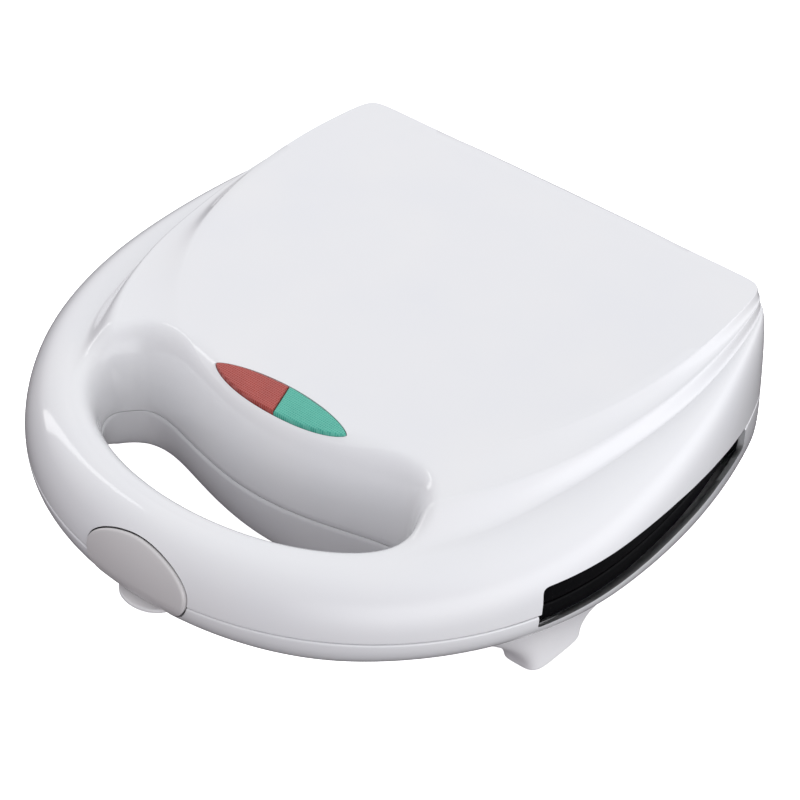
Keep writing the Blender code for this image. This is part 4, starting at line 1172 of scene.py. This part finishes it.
@dataclass
class Shells:
    """Lid shell and base shell, cut for the latch, the lamp window, the inlet and the side slots."""

    latch: Latch
    lamps: LampWindow
    inlet: CordInlet

    def build(self) -> None:
        """Makes both shells."""
        for name, form, body, slot_node, tools in (
                ("lid_shell", LID_FORM, "lid", "upper_shell", (self.latch.window(1), self.lamps.window())),
                ("base_shell", BASE_FORM, "base", "lower_shell", (self.latch.window(-1), self.inlet.hole()))):
            shell = add_object(name, form.surface(name).mesh(0.001))
            cut_with(shell, *tools, form.slot_tool(1), form.slot_tool(-1))
            dress(shell, WHITE_SHELL, body, "white_shell", slot_node)


@dataclass
class HandleCovers:
    """Flat panels that close the mouths of the shells in front of the plates."""

    inset: float = WALL + 1.2
    back_y: float = -46.0
    near: float = 0.6
    far: float = 2.4
    notch_half: float = 25.0
    notch_y: float = -106.6

    def loops(self) -> tuple[Array, Array]:
        """Matching points round the opening and round the panel, right half then its mirror.

        The near line of the opening is matched to the outer edge and the far line to the straight back,
        each by its share of the length.

        Returns:
            Opening loop and panel loop, N by 2 each.
        """
        near, far = OPENING.edge(self.inset)
        fine = np.radians(np.linspace(-90.0, -20.0, 700))
        radius = EDGE.radius(fine, self.inset)
        x, y = radius * np.cos(fine), CENTRE_Y + radius * np.sin(fine)
        keep = y < self.back_y
        front = np.stack([x[keep], y[keep]], axis=-1)
        notched = (front[:, 0] < self.notch_half) & (front[:, 1] < self.notch_y)
        front[:, 1] = np.where(notched, self.notch_y, front[:, 1])
        back = np.array([[front[-1, 0], self.back_y], [0.0, self.back_y]])
        inside = np.vstack([resample(near, 160, False), resample(far[::-1], 80, False)])
        outside = np.vstack([resample(front, 160, False), resample(back, 80, False)])
        flip = np.array([-1.0, 1.0])
        return np.vstack([inside, inside[-2:0:-1] * flip]), np.vstack([outside, outside[-2:0:-1] * flip])

    def panel(self, name: str, sign: int) -> Surface:
        """One panel: face, outer side, back and inner side, with narrow chamfers.

        Args:
            name: name of the panel.
            sign: 1 in the lid, -1 in the base.

        Returns:
            The closed surface.
        """
        inside, outside = self.loops()
        chamfer = 0.3
        share = np.array([0.02, 0.5, 0.98, 1.0, 1.0, 0.98, 0.5, 0.02, 0.0, 0.0, 0.02])
        level = np.array([self.near, self.near, self.near, self.near + chamfer, self.far - chamfer, self.far,
                          self.far, self.far, self.far - chamfer, self.near + chamfer, self.near])
        plan = inside + share[:, None, None] * (outside - inside)
        z = PARTING_Z + sign * level[:, None]
        return Surface(name).lay(plan[..., 0], plan[..., 1], z)

    def build(self) -> None:
        """Makes both panels."""
        for name, sign, body in (("upper_handle_cover", 1, "lid"), ("lower_handle_cover", -1, "base")):
            mesh = self.panel(f"{name}_panel", sign).mesh(sharp_degrees=25.0)
            dress(add_object(f"{name}_panel", mesh), WHITE_INSIDE, body, "white_shell", name)


# ---------------------------------------------------------------- plates

@dataclass
class MouldPlate:
    """Die-cast plate with six ring moulds, drawn as six square cells and a border round them."""

    name: str
    sign: int
    body: str
    ring_radius: float = 17.0
    tube: float = 9.2
    pitch: float = 60.0
    middle_y: float = 23.0
    flange: float = 4.0
    cup_radius: float = 28.4
    cup_depth: float = 12.0
    front_y: float = -45.0
    back_y: float = 104.0
    inset: float = 4.3
    skirt: float = 11.0
    skirt_wall: float = 2.3
    side_points: int = 24
    corner: float = 26.0

    def square_loop(self) -> Array:
        """Points round one cell, evenly along its four sides.

        Returns:
            Points, N by 2, round the middle of the cell.
        """
        half = self.pitch / 2
        run = np.linspace(-half, half, self.side_points, endpoint=False)
        rest = np.full_like(run, half)
        sides = ((run, -rest), (rest, run), (-run, rest), (-rest, -run))
        return np.vstack([np.stack(side, axis=-1) for side in sides])

    def mould_profile(self) -> Array:
        """Radius and depth pairs from the hub out: rounded lip, half circle, rounded lip.

        Returns:
            The pairs, M by 2.
        """
        turn = np.radians(np.linspace(7.0, 173.0, 36))
        bowl = np.stack([self.ring_radius - self.tube * np.cos(turn), self.tube * np.sin(turn)], axis=-1)
        inner, outer = self.ring_radius - self.tube, self.ring_radius + self.tube
        lip_in = np.array([[inner - 1.0, 0.0], [inner - 0.5, 0.10], [inner - 0.15, 0.42]])
        lip_out = np.array([[outer + 0.15, 0.42], [outer + 0.5, 0.10], [outer + 1.0, 0.0]])
        hub = np.array([[0.0, 0.0], [3.0, 0.0]])
        return np.vstack([hub, lip_in, bowl, lip_out])

    def cell(self, centre: tuple[float, float], profile: Array) -> tuple[Array, Array, Array]:
        """Grid of one cell: a turned profile whose last row is the square.

        Args:
            centre: middle of the cell in plan.
            profile: radius and depth pairs; the last depth is kept to the square.

        Returns:
            The coordinates, rows by columns for both in plan and rows by 1 for the height.
        """
        square = self.square_loop()
        ray = square / np.linalg.norm(square, axis=1, keepdims=True)
        plan = np.concatenate([profile[:, :1, None] * ray[None], square[None]]) + np.array(centre)
        return plan[..., 0], plan[..., 1], self.level(np.append(profile[:, 1], profile[-1, 1]))

    def level(self, depth: Array) -> Array:
        """Heights, as a column, at depths under the plate's face."""
        return (PARTING_Z + self.sign * (0.3 + depth))[:, None]

    def border_loops(self) -> tuple[Array, Array]:
        """Points round the block of cells and the matching points of the plate's outline.

        Returns:
            Block loop and outline loop, N by 2 each.
        """
        across, deep, n = 1.5 * self.pitch, self.pitch, self.side_points
        run_x = np.linspace(-across, across, 3 * n, endpoint=False)
        run_y = np.linspace(-deep, deep, 2 * n, endpoint=False)
        flat_x, flat_y = np.full(3 * n, deep), np.full(2 * n, across)
        sides = ((run_x, -flat_x), (flat_y, run_y), (-run_x, flat_x), (-flat_y, -run_y))
        block = np.vstack([np.stack(side, axis=-1) for side in sides])
        phi = np.radians(np.linspace(-90.0, 90.0, 1441))
        edge = EDGE.radius(phi, self.inset)
        slope = np.sin(phi)
        front = np.where(slope < -0.05, (self.front_y - CENTRE_Y) / np.minimum(slope, -0.05), 1e3)
        back = np.where(slope > 0.05, (self.back_y - CENTRE_Y) / np.maximum(slope, 0.05), 1e3)
        radius = (edge ** -self.corner + front ** -self.corner + back ** -self.corner) ** (-1 / self.corner)
        x, y = radius * np.cos(phi), CENTRE_Y + radius * np.sin(phi) - self.middle_y
        angle, reach = np.arctan2(y, x), np.hypot(x, y)
        way = np.arctan2(block[:, 1], np.abs(block[:, 0]))
        size = np.interp(way, angle, reach)
        outline = np.stack([np.sign(block[:, 0]) * size * np.cos(way), size * np.sin(way)], axis=-1)
        shift = np.array([0.0, self.middle_y])
        return block + shift, outline + shift

    def surface(self) -> Surface:
        """Face, rounded edge, skirt and cupped back as one closed surface.

        Returns:
            The closed surface.
        """
        plate = Surface(f"{self.name}_casting")
        face = self.mould_profile()
        back = np.array([[0.0, self.cup_depth - 0.3], [self.cup_radius - 0.6, self.cup_depth - 0.3],
                         [self.cup_radius, self.cup_depth - 0.9], [self.cup_radius, self.flange]])
        for column in (-1, 0, 1):
            for row in (-0.5, 0.5):
                centre = (column * self.pitch, self.middle_y + row * self.pitch)
                plate.lay(*self.cell(centre, face)).lay(*self.cell(centre, back))
        block, outline = self.border_loops()
        spoke = outline - block
        length = np.linalg.norm(spoke, axis=1)
        turn = np.linspace(0.0, math.pi / 2, EDGE_ROWS)
        edge, wall = 0.7, self.skirt_wall
        inset = np.concatenate([edge * (1.0 - np.sin(turn)), edge * (1.0 - np.cos(turn)),
                                wall - edge * (1.0 - np.sin(turn)), [wall, wall]])
        depth = np.concatenate([edge * (1.0 - np.cos(turn)), self.skirt - edge * (1.0 - np.sin(turn)),
                                self.skirt - edge * (1.0 - np.cos(turn)), [self.flange + 1.0, self.flange]])
        share = 1.0 - inset[:, None] / length[None, :]
        share = np.vstack([np.zeros_like(length)[None], np.full_like(length, 0.5)[None], share,
                           np.full_like(length, 0.3)[None], np.zeros_like(length)[None]])
        depth = np.concatenate([[0.0, 0.0], depth, [self.flange, self.flange]])
        plan = block + share[..., None] * spoke
        return plate.lay(plan[..., 0], plan[..., 1], self.level(depth))

    def build(self) -> None:
        """Makes the casting."""
        mesh = self.surface().mesh(weld_mm=0.01, sharp_degrees=50.0)
        dress(add_object(f"{self.name}_casting", mesh), NON_STICK, self.body, "nonstick", self.name,
              f"{self.name}_frame")


# ---------------------------------------------------------------- feet

@dataclass
class Foot:
    """Flared foot and its rubber pad."""

    name: str
    side: int
    low_x: float
    low_y: float
    low_half_x: float
    low_half_y: float
    high_inset: float
    high_y: float
    high_half_x: float
    high_half_y: float
    bottom_z: float = 1.5
    sink: float = 0.6
    square: float = 4.5

    def surface(self) -> Surface:
        """The foot: rounded rectangles that widen upwards.

        The loop is the superellipse |a|^n + |b|^n = 1, n being the squareness. A share s of the height
        moves it by s^1.8 of the way from the lower rectangle to the upper one, whose outer side follows
        the shells' side, and the height of the top follows the base's underside.

        Returns:
            The closed surface.
        """
        turn = np.linspace(0.0, 2 * math.pi, 120, endpoint=False) + 0.001
        circle = np.stack([np.cos(turn), np.sin(turn)], axis=-1)
        loop = circle * (np.abs(circle) ** self.square).sum(axis=-1, keepdims=True) ** (-1 / self.square)
        swell = np.concatenate([[0.0, 0.5, 0.93, 0.975, 0.995], np.ones(26), [0.5, 0.0]])
        level = np.concatenate([[0.0, 0.0, 0.0, 0.004, 0.016], np.linspace(0.04, 1.0, 26), [1.0, 1.0]])
        a, b = swell[:, None] * loop[:, 0], swell[:, None] * loop[:, 1]
        low_x, low_y = self.low_x + self.low_half_x * a, self.low_y + self.low_half_y * b
        high_y = self.high_y + self.high_half_y * b
        high_x = EDGE.side_line(high_y) - self.high_inset - self.high_half_x * (1.0 - a)
        top = PARTING_Z - SEAM - BASE_FORM.height(high_x, high_y) + self.sink
        flare = level[:, None] ** 1.8
        x = self.side * (low_x + (high_x - low_x) * flare)
        y = low_y + (high_y - low_y) * flare
        return Surface(self.name).lay(x, y, self.bottom_z + (top - self.bottom_z) * level[:, None])

    def pad(self, name: str) -> Surface:
        """Turned pad with a rounded edge and a shallow ring in its sole.

        Args:
            name: name of the pad.

        Returns:
            The closed surface.
        """
        profile = np.array([[0.0, 0.0], [3.0, 0.0], [3.3, 0.25], [4.2, 0.25], [4.5, 0.0], [6.0, 0.0],
                            [6.35, 0.12], [6.5, 0.4], [6.5, 1.6], [0.0, 1.6]])
        x, y, z = turned(profile, 72)
        return Surface(name).lay(x + self.side * self.low_x, y + self.low_y, z)

    def build(self) -> None:
        """Makes the foot and its pad."""
        hand = "right" if self.side > 0 else "left"
        end = self.name.split("_")[0]
        foot = add_object(self.name, self.surface().mesh())
        dress(foot, WHITE_FOOT, "base", "white_foot", f"{end}_foot_{hand}")
        pad = add_object(f"{end}_pad_{hand}", self.pad(f"{end}_pad_{hand}").mesh(sharp_degrees=30.0))
        dress(pad, PAD_RUBBER, "base", "rubber", f"{end}_foot_pad_{hand}")


@dataclass
class Feet:
    """Four feet: two at the front corners of the side, two near the back."""

    feet: list[Foot] = field(default_factory=lambda: [
        Foot(f"{end}_flared_foot_{hand}", side, *sizes)
        for side, hand in ((1, "right"), (-1, "left"))
        for end, sizes in (("front", (95.5, -21.5, 8.0, 13.5, 5.0, -28.5, 12.5, 27.5)),
                           ("rear", (84.0, 71.0, 8.0, 9.0, 11.0, 71.0, 10.0, 13.0)))])

    def build(self) -> None:
        """Makes every foot."""
        for foot in self.feet:
            foot.build()


# ---------------------------------------------------------------- nodes kept from the frame

@dataclass
class InnerWorks:
    """Nodes of the frame that stay as they are and only take a finish."""

    finishes: dict[str, Finish] = field(default_factory=lambda: {
        "hinge_pin": ZINC_STEEL, "latch_pin": ZINC_STEEL, "latch_spring": ZINC_STEEL,
        "lower_plate_screw": ZINC_STEEL, "upper_plate_screw": ZINC_STEEL, "lower_heater": HEATER_SHEATH,
        "upper_heater": HEATER_SHEATH, "lower_reflector": ROLLED_ALUMINIUM,
        "upper_reflector": ROLLED_ALUMINIUM,
        "thermal_fuse": ROLLED_ALUMINIUM, "terminal_block": CERAMIC, "thermostat": CERAMIC,
        "lamp_holder": CERAMIC, "neon_lamp": LAMP_GLASS, "latch_bracket": WHITE_INSIDE,
        "latch_catch": WHITE_INSIDE})

    def build(self) -> None:
        """Dresses every node that is still shown."""
        for name, node in sorted(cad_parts.items()):
            if node.hide_render:
                continue
            finish = next((self.finishes[key] for key in self.finishes if name.startswith(key)), WHITE_INSIDE)
            node.data.materials.clear()
            node.data.materials.append(finish.material())
            LOG.info("%s: kept from the frame, %s", name, finish.name)


# ---------------------------------------------------------------- stage

@dataclass
class Stage:
    """Floor, soft light and the camera."""

    azimuth: float = math.radians(41.0659)
    elevation: float = math.radians(38.1304)
    place: tuple[float, float, float] = (590.31, -662.30, 740.41)
    lens: float = 145.742
    floor_size: float = 6.0

    def floor(self) -> None:
        """Plain pale floor that lightens towards white."""
        half = self.floor_size / 2
        mesh = bpy.data.meshes.new("floor")
        mesh.from_pydata([(-half, -half, 0.0), (half, -half, 0.0), (half, half, 0.0), (-half, half, 0.0)], [],
                         [(0, 1, 2, 3)])
        floor = add_object("floor", mesh)
        paper = bpy.data.materials.new("pale_paper")
        paper.use_nodes = True
        NodeSheet(paper.node_tree).fill(paper.node_tree.nodes["Principled BSDF"], {
            "Base Color": (0.95, 0.95, 0.955, 1.0), "Roughness": 0.9, "Specular IOR Level": 0.1,
            "Emission Color": (1.0, 1.0, 1.0, 1.0), "Emission Strength": 1.0})
        mesh.materials.append(paper)
        floor.visible_diffuse = False
        floor.visible_glossy = False

    def soft_light(self, name: str, place: tuple[float, float, float], size: tuple[float, float],
                   power: float, mirrored_in_gloss: bool) -> None:
        """Rectangular light that looks at the object.

        Args:
            name: its name.
            place: where it hangs, in metres.
            size: its width and height, in metres.
            power: watts.
            mirrored_in_gloss: whether glossy faces show its shape.
        """
        data = bpy.data.lights.new(name, "AREA")
        data.shape = "RECTANGLE"
        data.size, data.size_y = size
        data.energy = power
        light = add_object(name, data)
        light.location = place
        aim = Vector((0.0, 0.0, 0.04)) - Vector(place)
        light.rotation_euler = aim.to_track_quat("-Z", "Y").to_euler()
        light.visible_glossy = mirrored_in_gloss

    def world(self) -> None:
        """Surround: pale overhead, greyish at the horizon, dimmer in front, bright low on the right."""
        world = bpy.data.worlds.new("surround")
        world.use_nodes = True
        sheet = NodeSheet(world.node_tree)
        place = sheet.add("ShaderNodeTexCoord").outputs["Generated"]
        way = sheet.add("ShaderNodeSeparateXYZ", {"Vector": place}).outputs
        ramp = sheet.add("ShaderNodeValToRGB", {"Fac": sheet.spread(way["Z"], -1.0, 1.0, 0.0, 1.0)})
        stops = ((0.0, (0.06, 0.055, 0.06)), (0.46, (0.15, 0.135, 0.15)), (0.54, (0.48, 0.45, 0.48)),
                 (0.68, (0.86, 0.85, 0.875)), (1.0, (0.98, 0.99, 1.01)))
        marks = ramp.color_ramp.elements
        for place, tone in stops[1:-1]:
            marks.new(place).color = (*tone, 1.0)
        marks[0].color, marks[-1].color = (*stops[0][1], 1.0), (*stops[-1][1], 1.0)
        dim_front = sheet.spread(way["Y"], -0.25, -0.9, 0.0, 0.62)
        tone = sheet.mix_colour(dim_front, ramp.outputs["Color"], (0.36, 0.33, 0.36))
        low = sheet.times(sheet.spread(way["Z"], -0.5, -0.1, 0.0, 1.0),
                          sheet.spread(way["Z"], 0.15, 0.4, 1.0, 0.0))
        right = sheet.times(sheet.spread(way["X"], 0.15, 0.7, 0.0, 1.0), low)
        sheet.fill(world.node_tree.nodes["Background"], {
            "Color": sheet.mix_colour(right, tone, (1.75, 1.75, 1.8)), "Strength": 1.04})
        bpy.context.scene.world = world

    def camera(self) -> None:
        """Camera at its measured place and angle."""
        data = bpy.data.cameras.new("camera")
        data.lens = self.lens
        data.sensor_width = 36.0
        data.clip_end = 50.0
        camera = add_object("camera", data)
        back = Vector((math.sin(self.azimuth) * math.cos(self.elevation),
                       -math.cos(self.azimuth) * math.cos(self.elevation), math.sin(self.elevation)))
        camera.location = Vector(self.place) * MM
        camera.rotation_euler = (-back).to_track_quat("-Z", "Y").to_euler()
        bpy.context.scene.camera = camera

    def build(self) -> None:
        """Sets up the whole stage."""
        self.floor()
        self.world()
        self.soft_light("softbox_left", (-1.1, 0.5, 1.3), (0.9, 0.9), 1.0, False)
        self.soft_light("softbox_right", (1.3, 0.0, 0.45), (0.9, 0.5), 1.0, False)
        self.soft_light("strip_left", (-1.5, -0.2, 0.9), (0.25, 1.6), 2.5, True)
        self.camera()
        bpy.context.scene.view_settings.view_transform = "Standard"


def main() -> None:
    """Builds every sub-assembly in order."""
    logging.basicConfig(level=logging.INFO, format="%(name)s %(message)s")
    latch, lamps, inlet = Latch(), LampWindow(), CordInlet()
    Shells(latch, lamps, inlet).build()
    HandleCovers().build()
    HingeRow().build()
    inlet.build()
    for name, sign, body, skirt in (("lower_plate", -1, "base", 6.2), ("upper_plate", 1, "lid", 11.0)):
        MouldPlate(name, sign, body, skirt=skirt).build()
    Feet().build()
    lamps.build()
    latch.build()
    InnerWorks().build()
    Stage().build()


if __name__ == "__main__":
    main()
